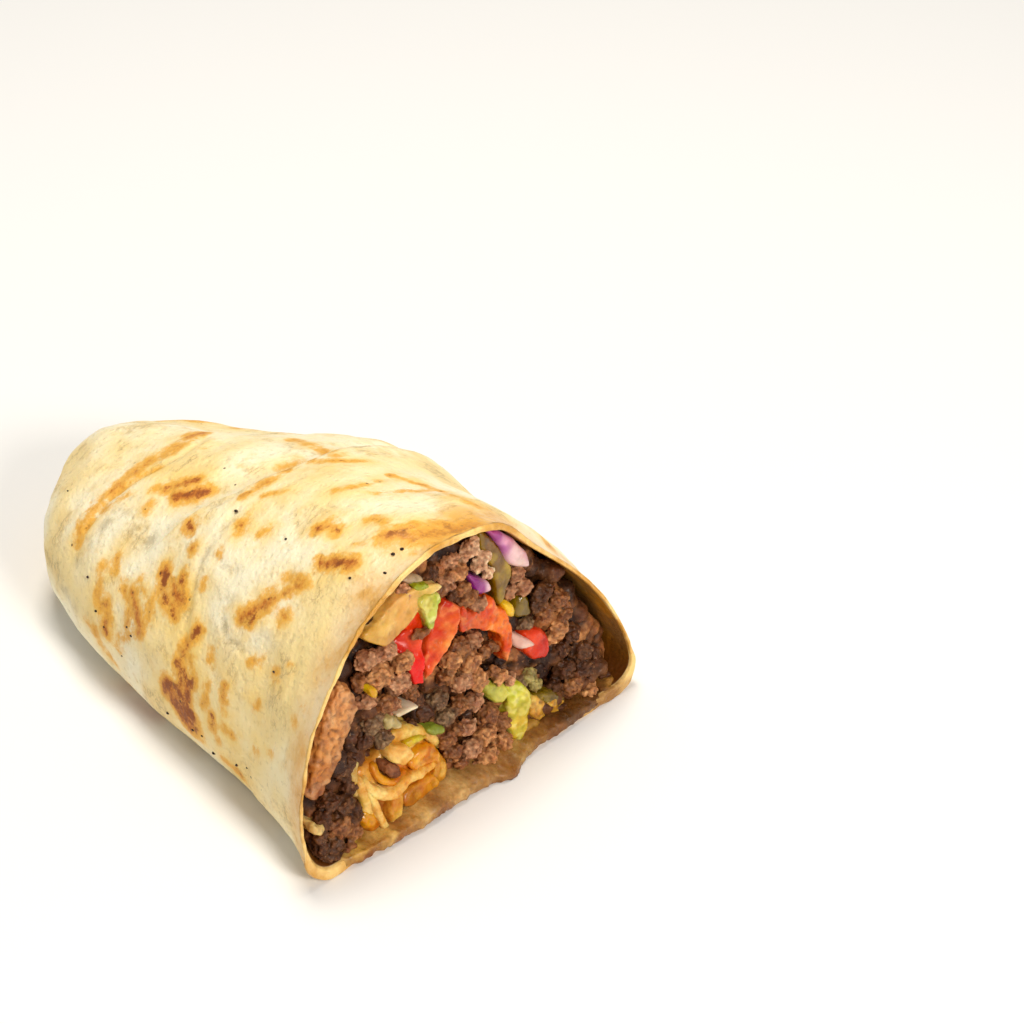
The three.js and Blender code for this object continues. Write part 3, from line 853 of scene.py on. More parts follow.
mottling = {
    "grain": 900.0,
    "coarse": (0.28, 4.0, 0.6),  # size as a share of the grain, detail, roughness
    "fine": (5.0, 0.65),
    "coarseShare": 0.6,
    "shade": (0.36, 0.64),
    "shine": (0.55, 2.0),
    "shineFrom": (0.42, 0.6),
}


# Fine mottling shared by everything moist: a shade from 0 to 1, a height and where it shines.
def makeMottle():
    group = bpy.data.node_groups.new("moistMottle", "ShaderNodeTree")
    taken = group.interface.new_socket(name="Grain", in_out="INPUT", socket_type="NodeSocketFloat")
    taken.default_value = mottling["grain"]
    for title in ("Shade", "Height", "Shine"):
        group.interface.new_socket(name=title, in_out="OUTPUT", socket_type="NodeSocketFloat")
    maker = NodeMaker(group)
    size = group.nodes.new("NodeGroupInput").outputs["Grain"]
    place = maker.place()
    coarseSize, *coarseRest = mottling["coarse"]
    coarse = maker.noise(place, maker.times(size, coarseSize), *coarseRest)
    fine = maker.noise(place, size, *mottling["fine"])
    share = mottling["coarseShare"]
    both = maker.plus(maker.times(coarse, share), maker.times(fine, 1 - share))
    shineSize, shineDetail = mottling["shine"]
    shine = maker.noise(place, maker.times(size, shineSize), shineDetail)
    found = {"Height": fine, "Shade": maker.step(both, *mottling["shade"]),
             "Shine": maker.step(shine, *mottling["shineFrom"])}
    leave = group.nodes.new("NodeGroupOutput")
    for title, socket in found.items():
        group.links.new(socket, leave.inputs[title])
    return group


skinLook = {
    "cream": tone(255, 245, 212),
    "warm": tone(250, 224, 158),
    "speckle": tone(240, 208, 140),
    "dust": tone(196, 178, 134),
    "glow": tone(250, 208, 110),
    "golden": tone(236, 174, 62),
    "orange": tone(192, 104, 22),
    "brown": tone(132, 62, 16),
    "char": tone(58, 28, 12),
    # grey: painted shade in the creases and recesses, partly the filling showing through the thin dough
    "grey": tone(146, 130, 94),
    "soaked": tone(226, 164, 66),
    "rim": tone(246, 208, 130),
    "rimGold": tone(210, 152, 62),
    "paste": tone(204, 160, 94),
    "layer": tone(160, 112, 56),
    # inner wall colours: partly sauce stain, partly painted shade; the lower one is painted shade for the
    # bottom of the wall
    "inner": tone(204, 136, 34),
    "innerLowShade": tone(96, 50, 8),
    "wrinkleTurn": (0.0, 0.0, math.radians(-24)),
    "wrinkleScale": (1.0, 0.3, 0.6),
    # scale, detail and roughness of each noise
    "noises": {
        "wide": (45, 3.0), "middle": (190, 4.0, 0.6), "fine": (900, 3.0, 0.6), "patch": (95, 5.0, 0.62),
        "shadow": (330, 5.0, 0.7), "halo": (150, 4.0, 0.6), "wobble": (280, 6.0, 0.7),
        "spots": (560, 6.0, 0.7), "dots": (240, 2.0), "few": (60, 2.0),
    },
    "wrinkle": (160, 6.0, 0.68),
    "cells": {"dots": 560, "few": 210, "pores": 520},
    # the dough's tints: noise, from, to, share, colour
    "dough": [
        ("wide", 0.38, 0.64, 1.0, "warm"), ("patch", 0.5, 0.68, 0.6, "speckle"),
        ("middle", 0.5, 0.7, 0.5, "speckle"), ("fine", 0.55, 0.72, 0.4, "dust"),
    ],
    "wobble": 2.0,
    "spots": 1.9,
    "soak": (0.32, 0.5),  # its share, and what the patches add
    "waver": 3.0,
    "line": 0.12,
    "roughness": 0.6,
    "roughChange": 0.3,
    "wetter": 0.25,
    "relief": {"middle": 0.5, "fine": 0.25, "pores": 0.16, "crack": 0.12, "wrinkle": 0.7},
    "bump": (0.8, 0.001),
    "under": {
        "Subsurface Weight": 0.1, "Subsurface Radius": (1.0, 0.6, 0.3), "Subsurface Scale": 0.0012,
        "Specular IOR Level": 0.35,
    },
}


# From and to, for what each step makes of its value.
skinSteps = {
    "shadow": (0.4, 0.62), "crack": (0.004, 0.03), "crackPatch": (0.5, 0.64), "halo": (0.3, 0.62),
    "reach": (0.02, 0.3), "golden": (0.1, 0.56), "orange": (0.5, 0.98), "toasted": (0.45, 0.8),
    "brown": (0.25, 0.75), "char": (0.95, 1.3),
    "dot": (0.1, 0.22), "dotPatch": (0.5, 0.6), "dotToast": (0.5, 0.8),
    "few": (0.035, 0.07), "fewPatch": (0.5, 0.58), "soakPatch": (0.35, 0.65), "rim": (0.7, 0.95),
    "layer": (0.0, 0.9), "layerDeep": (1.6, 2.6), "paste": (0.42, 0.62), "gold": (0.4, 0.62),
    "stain": (0.38, 0.62), "low": (0.003, 0.013), "inner": (0.6, 0.9), "pores": (0.0, 0.35),
}


def makeSkinMaterial():
    material, maker, shader = newMaterial("toastedTortilla")
    look = skinLook
    place = maker.place()
    times, plus, minus, read = maker.times, maker.plus, maker.minus, maker.read
    seen = {name: maker.noise(place, *row) for name, row in look["noises"].items()}
    near = {name: maker.cells(place, scale) for name, scale in look["cells"].items()}

    def step(name, value):
        return maker.step(value, *skinSteps[name])

    def inverse(name, value):
        return minus(1.0, step(name, value))

    # fine wrinkles that run round the roll
    turn, scale = look["wrinkleTurn"], look["wrinkleScale"]
    turned = maker.add("Mapping", {"Vector": place, "Rotation": turn, "Scale": scale})
    wrinkle = maker.noise(turned.outputs["Vector"], *look["wrinkle"])
    # grey lines in the wrinkles' grooves: partly the dough's own grey, partly painted shade in the creases
    crack = times(inverse("crack", maker.off(wrinkle)), step("crackPatch", seen["patch"]))
    # the toast wavers at its edges, and darkens in spots
    wobble = times(minus(seen["wobble"], 0.5), look["wobble"])
    toast = plus(read("toast"), times(wobble, step("reach", read("toast"))))
    spots = times(minus(seen["spots"], 0.5), look["spots"])
    dark = times(plus(times(read("brown"), toast), spots), step("toasted", toast))
    # small charred dots inside the marks, and a few on their own
    dots = times(inverse("dot", near["dots"]), step("dotPatch", seen["dots"]))
    few = times(inverse("few", near["few"]), step("fewPatch", seen["few"]))
    dots = maker.math("MAXIMUM", times(dots, step("dotToast", toast)), few)
    soak, more = look["soak"]
    soak = times(read("soaked"), plus(soak, times(step("soakPatch", seen["patch"]), more)), clamp=True)
    # the dough, then mask, share and colour of what lies over it, from the lowest to the highest
    layers = [(maker.step(seen[name], *span), share, tint) for name, *span, share, tint in look["dough"]]
    layers += [
        # grey: painted shade along the creases and in the recesses, partly the filling showing through
        (times(read("grey"), step("shadow", seen["shadow"])), 0.9, "grey"),
        # the wrinkle lines, partly painted shade
        (crack, 0.32, "grey"),
        (times(read("glow"), step("halo", seen["halo"])), 0.85, "glow"),
        (step("golden", toast), 0.92, "golden"),
        (step("orange", toast), 0.86, "orange"),
        (step("brown", dark), 0.8, "brown"),
        (step("char", dark), 0.8, "char"),
        (dots, 0.85, "char"),
        (soak, 1.0, "soaked"),
    ]
    color = look["cream"]
    for mask, share, tint in layers:
        color = maker.mix(times(mask, share), color, look[tint])
    # the cut face: pale dough, with brown lines between the layers where it is thick
    side = read("inner")
    depth = times(read("rimDepth"), 2 * math.pi / tortilla["layer"])
    wave = maker.math("SINE", plus(depth, times(seen["middle"], look["waver"])))
    line = times(step("layer", wave), step("layerDeep", read("rimDepth")))
    paste = maker.mix(step("paste", seen["middle"]), look["paste"], look["layer"])
    dough = maker.mix(step("gold", seen["patch"]), look["rim"], look["rimGold"])
    cut = maker.mix(times(line, look["line"]), maker.mix(read("thick"), dough, paste), look["layer"])
    color = maker.mix(step("rim", minus(1.0, maker.off(side), clamp=True)), color, cut)
    # the inner wall: sauce-stained patches over an orange-brown that is partly painted shade, and painted
    # shade darkening it towards the bottom
    stained = maker.mix(step("stain", seen["patch"]), look["inner"], look["layer"])
    low = step("low", maker.add("SeparateXYZ", {"Vector": place}).outputs["Z"])
    color = maker.mix(step("inner", side), color, maker.mix(low, look["innerLowShade"], stained))
    rough = plus(look["roughness"], times(minus(seen["fine"], 0.5), look["roughChange"]))
    rough = minus(rough, times(read("soaked"), look["wetter"]))
    share = look["relief"]
    height = plus(times(seen["middle"], share["middle"]), times(seen["fine"], share["fine"]))
    height = plus(height, times(step("pores", near["pores"]), share["pores"]))
    height = minus(height, times(crack, share["crack"]))
    height = plus(height, times(wrinkle, share["wrinkle"]))
    normal = maker.relief(height, *look["bump"])
    maker.finish(shader, {"Base Color": color, "Roughness": rough, "Normal": normal}, look["under"])
    return material


# What the moist foods share, and what each has of its own: grain, the dark shade, roughness from and to,
# bump, glow, coat, and for some the specular level, the glow's reach in each colour, and flecks.
moist = {
    "specular": 0.35,
    "radius": (1.0, 0.5, 0.3),
    "glowDepth": 0.0014,
    "coatRoughness": 0.18,
    "bumpDepth": 0.0006,
    "fleck": None,  # share, colour
    "fleckNoise": (0.8, 3.0, 0.6),
    "fleckFrom": (0.62, 0.7),
}
foodTraits = ("grain", "dark", "roughness", "bump", "glow", "coat", "specular", "radius", "fleck")
foods = {
    "mincedBeef": (1500, tone(196, 168, 156), (0.28, 0.6), 0.5, 0.12, 0.08, 0.24, (1.0, 0.4, 0.25),
                   (0.3, tone(222, 160, 104))),
    "pinkMeat": (1300, tone(226, 202, 172), (0.3, 0.55), 0.5, 0.1, 0.12),
    "tomatoFlesh": (1000, tone(232, 184, 164), (0.12, 0.3), 0.25, 0.14, 0.14, 0.22),
    "onionFlesh": (420, tone(232, 214, 214), (0.16, 0.36), 0.2, 0.3, 0.3),
    "pickleFlesh": (600, tone(190, 180, 110), (0.15, 0.35), 0.3, 0.3, 0.35),
    "leafFlesh": (480, tone(236, 222, 172), (0.2, 0.4), 0.35, 0.3, 0.2),
    "crumbPaste": (1100, tone(224, 202, 164), (0.26, 0.56), 0.4, 0.25, 0.14),
    "saucedFold": (620, tone(226, 178, 92), (0.16, 0.42), 0.35, 0.3, 0.2),
}


# One moist food: its vertex colours, mottled, over a little light from within.
def makeFood(name, mottle):
    material, maker, shader = newMaterial(name)
    look = {**moist, **dict(zip(foodTraits, foods[name]))}
    grain = maker.add("Group", node_tree=mottle)
    grain.inputs["Grain"].default_value = look["grain"]
    tint = maker.add("Attribute", attribute_name="tint").outputs["Color"]
    color = maker.mix(grain.outputs["Shade"], maker.mix(1.0, tint, look["dark"], "MULTIPLY"), tint)
    if look["fleck"]:
        share, fleck = look["fleck"]
        size, *rest = look["fleckNoise"]
        found = maker.step(maker.noise(maker.place(), look["grain"] * size, *rest), *look["fleckFrom"])
        color = maker.mix(maker.times(found, share), color, fleck)
    low, high = look["roughness"]
    rough = maker.minus(high, maker.times(grain.outputs["Shine"], high - low))
    normal = maker.relief(grain.outputs["Height"], look["bump"], look["bumpDepth"])
    maker.finish(shader, {"Base Color": color, "Roughness": rough, "Normal": normal}, {
        "Subsurface Weight": look["glow"],
        "Subsurface Radius": look["radius"],
        "Subsurface Scale": look["glowDepth"],
        "Coat Weight": look["coat"],
        "Coat Roughness": look["coatRoughness"],
        "Specular IOR Level": look["specular"],
    })
    return material


# The filling: shapes are worked out in wrap millimetres, remeshed evenly, then roughened.
def remeshed(mesh, voxel):
    rough = linked("rough", mesh)
    change = rough.modifiers.new("even", "REMESH")
    change.mode = "VOXEL"
    change.voxel_size = voxel
    solved = rough.evaluated_get(bpy.context.evaluated_depsgraph_get())
    even = bpy.data.meshes.new_from_object(solved)
    bpy.data.objects.remove(rough)
    bpy.data.meshes.remove(mesh)
    return even


# Each vertex's value moved halfway to the mean of its neighbours.
def relaxed(values, edges, times):
    count = np.maximum(np.bincount(edges.reshape(-1), minlength=len(values)), 1).astype(float)
    wide = values if values.ndim == 2 else values[:, None]
    ahead, behind = edges.T
    for _ in range(times):
        total = np.stack([
            np.bincount(ahead, column[behind], len(wide)) + np.bincount(behind, column[ahead], len(wide))
            for column in wide.T
        ], 1)
        wide = wide + 0.5 * (total / count[:, None] - wide)
    return wide if values.ndim == 2 else wide[:, 0]


# Moves points that would stick through the wrap back inside it.
def keptInside(points, gap=0.12, rimZone=0.3):
    points = points.copy()
    for k, p in enumerate(points):
        if p[0] > wrap["length"] - rimZone:
            continue
        spot, normal, _, _ = innerWall.find_nearest(Vector(p))
        if (Vector(p) - spot).dot(normal) > -gap:
            points[k] = spot - normal * gap
    return points


def blended(points, anchors, power=3.0):
    total = np.zeros((len(points), len(anchors[0][1])))
    weight = np.zeros(len(points))
    for place, value in anchors:
        near = 1 / (np.linalg.norm(points - place, axis=1) ** power + 1e-3)
        total += near[:, None] * np.array(value)
        weight += near
    return total / weight[:, None]


def addTint(mesh, colors):
    wide = np.ones((len(mesh.vertices), 4), dtype=np.float32)
    wide[:, :3] = np.clip(colors, 0, 1)
    mesh.attributes.new("tint", "FLOAT_COLOR", "POINT").data.foreach_set("color", wide.reshape(-1))


# A smooth closed line through the corners.
def rounded(corners, cuts=4):
    count = len(corners)
    found = []
    for k in range(count):
        a, b, c, d = (np.array(corners[(k + j) % count], float) for j in (-1, 0, 1, 2))
        for u in np.arange(cuts) / cuts:
            bend = (2 * a - 5 * b + 4 * c - d) * u * u + (3 * b - a - 3 * c + d) * u ** 3
            found.append(0.5 * (2 * b + (c - a) * u + bend))
    return found


# The outline of a strip of the widths along a line.
def widened(line, widths):
    line = [np.array(p, float) for p in line]
    left, right = [], []
    for k, p in enumerate(line):
        way = line[min(k + 1, len(line) - 1)][:2] - line[max(k - 1, 0)][:2]
        way = way / np.linalg.norm(way)
        side = np.array([-way[1], way[0]]) * widths[k] / 2
        left.append(np.append(p[:2] + side, p[2:]))
        right.append(np.append(p[:2] - side, p[2:]))
    return left + right[::-1]


# What every piece at the cut has, unless its own row says otherwise.
chunkForm = {
    "setback": 2.0,
    "smooth": True,
    "depth": 8.0,
    "voxel": 0.3,
    "soften": 3,
    "round": 0.9,
    "frontReach": 1.5,  # how far back the front's rounding works, as a share of round
    "swell": 0.0,
    "swellFade": (0, 4),
    "rough": ((2.2, 0.25), (0.9, 0.1)),  # size and height in mm
    "grain": None,
    "streaks": (),  # colour, size in mm, share
    "streakFade": (0.0, 0.34),
    "hollowSpread": 8,
    "hollowDark": 4.0,  # the share of light lost per mm of depth, and the darkest it gets
    "darkest": 0.45,
    "replaces": None,
}

# The material and the slot of each kind.
kinds = {
    "tomato": ("tomatoFlesh", "tomato"),
    "onion": ("onionFlesh", "red_onion"),
    "pickle": ("pickleFlesh", "pickle"),
    "paleLeaf": ("leafFlesh", "pale_leaf"),
    "lettuce": ("leafFlesh", "lettuce"),
    "cheese": ("saucedFold", "cheese"),
    "meat": ("pinkMeat", "meat_slab"),
    "crumb": ("mincedBeef", "ground_beef"),
}

# Pieces at the cut. Outlines go round in photo pixels, a third number is that corner's setback in mm.
chunks = {
    "leafSlab": {
        "kind": "paleLeaf", "replaces": "leaf_slab", "setback": 1.6, "depth": 14,
        "outline": [(443, 586, 0.9), (434, 585, 1.3), (424, 587), (413, 590), (402, 597), (392, 607),
            (382, 618), (371, 629), (364, 638), (371, 644), (380, 646), (389, 645), (400, 636), (411, 623),
            (422, 610), (432, 598, 1.3), (440, 591, 0.9)],
        "colors": [(402, 612, (236, 180, 106)), (412, 603, (242, 190, 116)), (425, 592, (232, 198, 104)),
            (441, 588, (250, 228, 178)), (385, 628, (238, 196, 112)), (372, 640, (206, 158, 56)),
            (392, 640, (206, 152, 78)), (416, 612, (222, 170, 92))],
        "rough": ((6.0, 0.35), (2.2, 0.26), (0.9, 0.1)), "round": 0.35, "voxel": 0.24,
        # the pale cream streak is a painted highlight; the darker one is the leaf's own tone
        "streaks": [((248, 218, 148), 2.4, 0.45), ((214, 158, 78), 1.6, 0.3)],
    },
    "lettuceShred": {
        "kind": "lettuce", "replaces": "lettuce_shred", "setback": 0.9, "depth": 7,
        "outline": [(427, 597), (433, 594), (439, 594), (442, 600), (439, 608), (437, 618), (434, 628),
            (430, 629), (427, 620), (424, 612), (421, 606), (423, 600)],
        "colors": [(438, 598, (176, 190, 46)), (428, 604, (216, 208, 104)), (434, 614, (202, 208, 92)),
            (431, 625, (176, 188, 66))],
        "rough": ((2.0, 0.3), (0.8, 0.15)), "round": 0.4, "voxel": 0.22, "soften": 2,
        "streaks": [((238, 236, 160), 1.1, 0.6)],
    },
    "lettuceBit": {
        "kind": "lettuce", "setback": 1.5, "depth": 5,
        "outline": [(414, 588), (419, 585), (426, 584), (431, 587), (427, 590), (419, 591)],
        "colors": [(422, 587, (158, 172, 30))],
        "rough": ((1.4, 0.2), (0.7, 0.1)), "round": 0.4, "voxel": 0.22, "soften": 2,
    },
    "yellowFleck": {
        "kind": "cheese", "setback": 0.4, "depth": 4,
        "outline": [(370, 690), (375, 688), (379, 692), (377, 698), (372, 697)],
        "colors": [(375, 693, (224, 196, 20))],
        "rough": ((1.4, 0.2),), "round": 0.5, "voxel": 0.22, "soften": 2,
    },
    "onionShard": {
        "kind": "onion", "setback": 2.6, "depth": 6,
        "outline": [(404, 582), (411, 577), (419, 577), (425, 580), (422, 585), (412, 587)],
        "colors": [(410, 580, (176, 150, 116)), (422, 580, (196, 170, 132))],
        "rough": ((1.6, 0.25), (0.7, 0.1)),
    },
    "tomatoDice": {
        "kind": "tomato", "replaces": "tomato_dice", "setback": 1.6, "depth": 12, "smooth": False,
        "outline": [(389, 647, 4.2), (395, 640, 3.8), (403, 633, 3.2), (413, 629, 2.4), (423, 640, 1.2),
            (426, 662, 0.9), (425, 684, 1.1), (416, 686, 1.4), (410, 671, 1.3), (406, 659, 1.4),
            (398, 652, 2.8)],
        # the darker red towards its receding left side is painted shade
        "colors": [(394, 645, (206, 14, 6)), (404, 648, (218, 20, 6)), (418, 668, (236, 12, 2)),
            (416, 640, (232, 84, 40)), (404, 638, (226, 70, 32))],
        "rough": ((3.0, 0.15), (1.0, 0.08)), "round": 0.35, "soften": 1, "voxel": 0.24,
        "streaks": [((238, 58, 24), 1.6, 0.35)],
    },
    "tomatoSlice": {
        "kind": "tomato", "replaces": "tomato_slice", "setback": 0.8, "depth": 14, "smooth": False,
        "outline": [(446, 600, 1.6), (454, 603, 1.2), (462, 608, 1.0), (461, 620, 0.6), (457, 634, 0.4),
            (450, 647, 0.4), (442, 660, 0.6), (434, 672, 0.9), (427, 681, 1.3), (425, 662, 1.6),
            (428, 640, 1.8), (434, 622, 1.8), (441, 609, 1.7)],
        "colors": [(452, 608, (196, 44, 16)), (440, 632, (222, 70, 24)), (450, 630, (246, 142, 62)),
            (446, 646, (248, 146, 62)), (430, 660, (214, 48, 14)), (456, 620, (228, 96, 36)),
            (434, 668, (236, 100, 40))],
        "rough": ((2.6, 0.2), (0.9, 0.12)), "round": 0.4, "soften": 1, "voxel": 0.24,
        "streaks": [((248, 160, 84), 1.5, 0.55), ((204, 36, 12), 2.2, 0.35)],
    },
    "tomatoWedge": {
        "kind": "tomato", "replaces": "tomato_wedge", "setback": 1.2, "depth": 12,
        "outline": [(463, 608), (472, 611), (481, 608), (487, 600), (495, 599), (499, 607), (507, 611),
            (510, 620), (514, 628), (513, 640), (511, 652), (508, 663), (505, 652), (504, 640), (498, 634),
            (488, 631), (474, 630), (462, 632)],
        "colors": [(468, 618, (200, 72, 28)), (476, 624, (218, 104, 48)), (488, 612, (226, 84, 14)),
            (496, 624, (240, 124, 26)), (506, 618, (246, 136, 14)), (509, 648, (222, 84, 14))],
        "rough": ((2.2, 0.35), (0.9, 0.18), (0.5, 0.06)), "round": 0.45, "soften": 2, "voxel": 0.24,
        "streaks": [((248, 170, 92), 1.5, 0.5), ((208, 52, 16), 1.8, 0.4)],
    },
    "tomatoScrap": {
        "kind": "tomato", "replaces": "tomato_scrap", "setback": 2.6, "depth": 8,
        "outline": [(402, 624), (411, 612), (421, 610), (430, 620), (427, 632), (414, 634), (404, 632)],
        "colors": [(414, 622, (222, 59, 12))],
        "rough": ((2.0, 0.25), (0.8, 0.1)),
    },
    "tomatoBit": {
        "kind": "tomato", "replaces": "tomato_bit", "setback": 1.8, "depth": 8,
        "outline": [(526, 634), (535, 630), (545, 632), (551, 642), (548, 657), (538, 661), (529, 657),
            (526, 645)],
        "colors": [(533, 640, (228, 70, 22)), (544, 648, (206, 43, 12))],
        "rough": ((2.2, 0.25), (0.8, 0.1)),
    },
    "pickleStrip": {
        "kind": "pickle", "replaces": "pickle_strip", "setback": 2.0, "depth": 14,
        "outline": [(480, 533), (482, 546), (484, 557), (491, 564), (495, 578), (497, 592), (499, 606),
            (504, 602), (509, 588), (514, 573), (510, 560), (500, 547), (490, 535)],
        "colors": [(486, 545, (130, 86, 4)), (498, 562, (120, 82, 4)), (510, 572, (160, 124, 12)),
            (502, 590, (130, 94, 6))],
        "streaks": [((186, 156, 40), 2.0, 0.45)], "rough": ((3.0, 0.2), (1.0, 0.1)), "round": 0.8,
    },
    "pickleChip": {
        "kind": "pickle", "replaces": "pickle_chip", "setback": 3.0, "depth": 8,
        "outline": [(516, 610), (519, 600), (524, 594), (529, 597), (532, 606), (533, 614), (525, 619),
            (517, 618)],
        "colors": [(522, 604, (130, 103, 9)), (528, 612, (110, 85, 6))],
        "rough": ((2.0, 0.2),),
    },
    "redOnionPiece": {
        "kind": "onion", "replaces": "red_onion_piece", "setback": 1.2, "depth": 12,
        "outline": [(487, 530), (498, 531), (507, 535), (516, 540), (523, 547), (529, 555), (531, 567),
            (521, 569), (511, 565), (506, 556), (502, 548), (495, 539)],
        "colors": [(490, 533, (176, 70, 138)), (497, 540, (160, 62, 138)), (503, 549, (168, 80, 150)),
            (506, 541, (228, 160, 188)), (516, 551, (234, 196, 196)), (522, 561, (232, 204, 192)),
            (526, 556, (222, 176, 184))],
        "rough": ((3.2, 0.2), (1.0, 0.05)), "round": 0.8, "swell": 0.5,
    },
    "redOnionBit": {
        "kind": "onion", "replaces": "red_onion_bit", "setback": 1.4, "depth": 6,
        "outline": [(471, 577), (479, 578), (487, 581), (492, 584), (493, 591), (486, 595), (478, 596),
            (474, 587)],
        "colors": [(477, 586, (132, 20, 118)), (483, 590, (150, 40, 128)), (490, 587, (234, 196, 204))],
        "rough": ((2.0, 0.15),),
    },
    "onionSliver": {
        "kind": "onion", "replaces": "onion_sliver", "setback": 1.2, "depth": 6,
        "outline": [(512, 633), (522, 636), (537, 645), (525, 650), (517, 648), (513, 641)],
        "colors": [(518, 640, (222, 176, 156)), (530, 645, (236, 200, 180))],
        "rough": ((1.6, 0.15),), "round": 0.5,
    },
    "onionStrip": {
        "kind": "onion", "replaces": "onion_strip", "setback": 1.0, "depth": 5,
        "line": [(398, 716), (404, 713), (411, 710), (418, 707)],
        "widths": [4, 4, 4, 2],
        "colors": [(400, 714, (214, 200, 160)), (416, 707, (240, 226, 192))],
        "rough": ((1.6, 0.12),), "voxel": 0.18, "round": 0.25, "soften": 2,
    },
    "onionCrumb": {
        "kind": "onion", "setback": 1.8, "depth": 6,
        "outline": [(386, 720), (394, 716), (401, 719), (405, 725), (401, 731), (395, 729), (389, 732),
            (387, 726)],
        "colors": [(392, 720, (190, 178, 110)), (400, 726, (170, 152, 92))],
        "rough": ((1.6, 0.35), (0.7, 0.16)), "voxel": 0.24, "streaks": [((216, 204, 150), 1.2, 0.5)],
    },
    "meatSlab": {
        "kind": "meat", "replaces": "meat_slab", "setback": 1.6, "depth": 20,
        "outline": [(341, 690), (348, 688), (355, 692), (358, 702), (357, 714), (352, 725), (348, 738),
            (343, 751), (338, 763), (334, 775), (329, 787), (323, 797), (314, 801), (309, 797), (312, 780),
            (317, 758), (323, 736), (331, 713)],
        # lighter on the upper left, darker on the right and towards the bottom: painted light and shade over
        # the meat's own tan
        "colors": [(346, 700, (238, 172, 106)), (355, 704, (186, 134, 92)), (342, 718, (234, 168, 98)),
            (350, 720, (196, 138, 86)), (333, 740, (228, 160, 86)), (341, 748, (182, 120, 62)),
            (325, 756, (218, 148, 72)), (332, 770, (172, 108, 48)), (320, 772, (200, 128, 54)),
            (318, 791, (158, 90, 32))],
        "rough": ((5.0, 0.55), (1.9, 0.45), (0.9, 0.26), (0.5, 0.1)), "round": 0.6, "voxel": 0.24,
        "grain": (1.1, 0.4), "streaks": [((236, 184, 130), 1.8, 0.45), ((150, 90, 46), 1.2, 0.45)],
    },
    "foldBase": {
        "kind": "cheese", "replaces": "cheese_fold", "setback": 4.0, "depth": 26,
        "outline": [(392, 740, 3.6), (418, 736, 3.6), (436, 740, 3.6), (438, 750), (447, 759, 3.8),
            (446, 775, 3.6), (436, 792, 3.2), (420, 806, 3.0), (404, 820, 3.0), (390, 828, 3.0),
            (374, 832, 3.0), (362, 822), (357, 800), (355, 780), (362, 765), (378, 758)],
        # the darker orange-browns low down and in its hollows are painted shade over the sauce's own gold
        "colors": [(387, 812, (140, 80, 14)), (420, 796, (226, 142, 20)), (412, 805, (180, 104, 26)),
            (366, 796, (232, 184, 84)), (405, 748, (240, 206, 110)), (395, 776, (222, 134, 14)),
            (442, 768, (226, 158, 50)), (428, 754, (236, 156, 26)), (370, 820, (214, 154, 26))],
        "rough": ((4.0, 0.5), (1.6, 0.3)), "streaks": [((246, 196, 96), 1.8, 0.5)], "voxel": 0.46,
    },
    "foldLoop": {
        "kind": "cheese", "setback": 1.2, "depth": 6,
        "line": [(366, 779, 2.6), (369, 786, 2.0), (375, 792, 1.5), (384, 797, 1.1), (394, 796, 0.9),
            (402, 790, 1.0), (410, 782, 1.2), (421, 776, 1.4), (432, 768, 1.9), (439, 758, 2.6)],
        "widths": [7, 9, 11, 12, 11, 10, 9, 8, 7, 5],
        "colors": [(374, 790, (246, 214, 128)), (392, 797, (250, 222, 138)), (406, 786, (248, 212, 120)),
            (421, 776, (244, 204, 110)), (434, 764, (240, 180, 66))],
        "rough": ((2.4, 0.2), (0.9, 0.1), (0.5, 0.05)), "voxel": 0.22, "round": 0.8, "soften": 2,
        "streaks": [((238, 178, 62), 1.2, 0.5)],
    },
    "foldPost": {
        "kind": "cheese", "setback": 1.4, "depth": 6,
        "line": [(400, 794, 1.8), (399, 806, 1.3), (398, 818, 1.0), (400, 829, 1.0)],
        "widths": [11, 12, 12, 10],
        "colors": [(397, 803, (222, 166, 54)), (403, 812, (244, 202, 100)), (396, 824, (222, 166, 58))],
        "rough": ((2.4, 0.2), (0.8, 0.1)), "voxel": 0.22, "round": 0.8, "soften": 2,
    },
    "foldStrand": {
        "kind": "cheese", "setback": 1.0, "depth": 5,
        "line": [(370, 790, 2.0), (374, 799, 1.5), (379, 809, 1.1), (383, 819, 0.9), (388, 828, 0.8),
            (396, 830, 1.2)],
        "widths": [7, 8, 8, 8, 9, 6],
        "colors": [(376, 802, (244, 208, 118)), (388, 826, (250, 224, 146))],
        "rough": ((2.4, 0.15), (0.8, 0.08)), "voxel": 0.22, "round": 0.7, "soften": 2,
    },
    "foldEdge": {
        "kind": "cheese", "setback": 2.8, "depth": 6,
        "line": [(358, 762, 3.2), (356, 773), (356, 785), (358, 797, 2.8)],
        "widths": [5, 7, 8, 6],
        "colors": [(356, 770, (206, 190, 122)), (358, 792, (222, 200, 130))],
        "rough": ((2.6, 0.25), (0.9, 0.1)), "voxel": 0.24,
    },
    "foldGold": {
        "kind": "cheese", "setback": 2.2, "depth": 7,
        "outline": [(361, 776, 2.8), (367, 782), (370, 794, 1.8), (375, 806, 1.8), (377, 816), (370, 822),
            (364, 812), (361, 798), (359, 786)],
        "colors": [(364, 788, (232, 196, 104)), (368, 806, (228, 174, 66)), (372, 818, (214, 156, 40))],
        "rough": ((2.4, 0.35), (0.9, 0.12)), "voxel": 0.24, "streaks": [((248, 214, 130), 1.4, 0.6)],
    },
    "foldCorner": {
        "kind": "cheese", "setback": 1.8, "depth": 6,
        "outline": [(364, 815), (371, 811), (379, 815), (382, 824), (378, 831), (368, 832), (363, 825)],
        "colors": [(371, 820, (218, 152, 22)), (376, 828, (206, 140, 30))],
        "rough": ((2.0, 0.35), (0.8, 0.14)), "voxel": 0.24,
    },
    "foldCream": {
        "kind": "cheese", "setback": 1.2, "depth": 6,
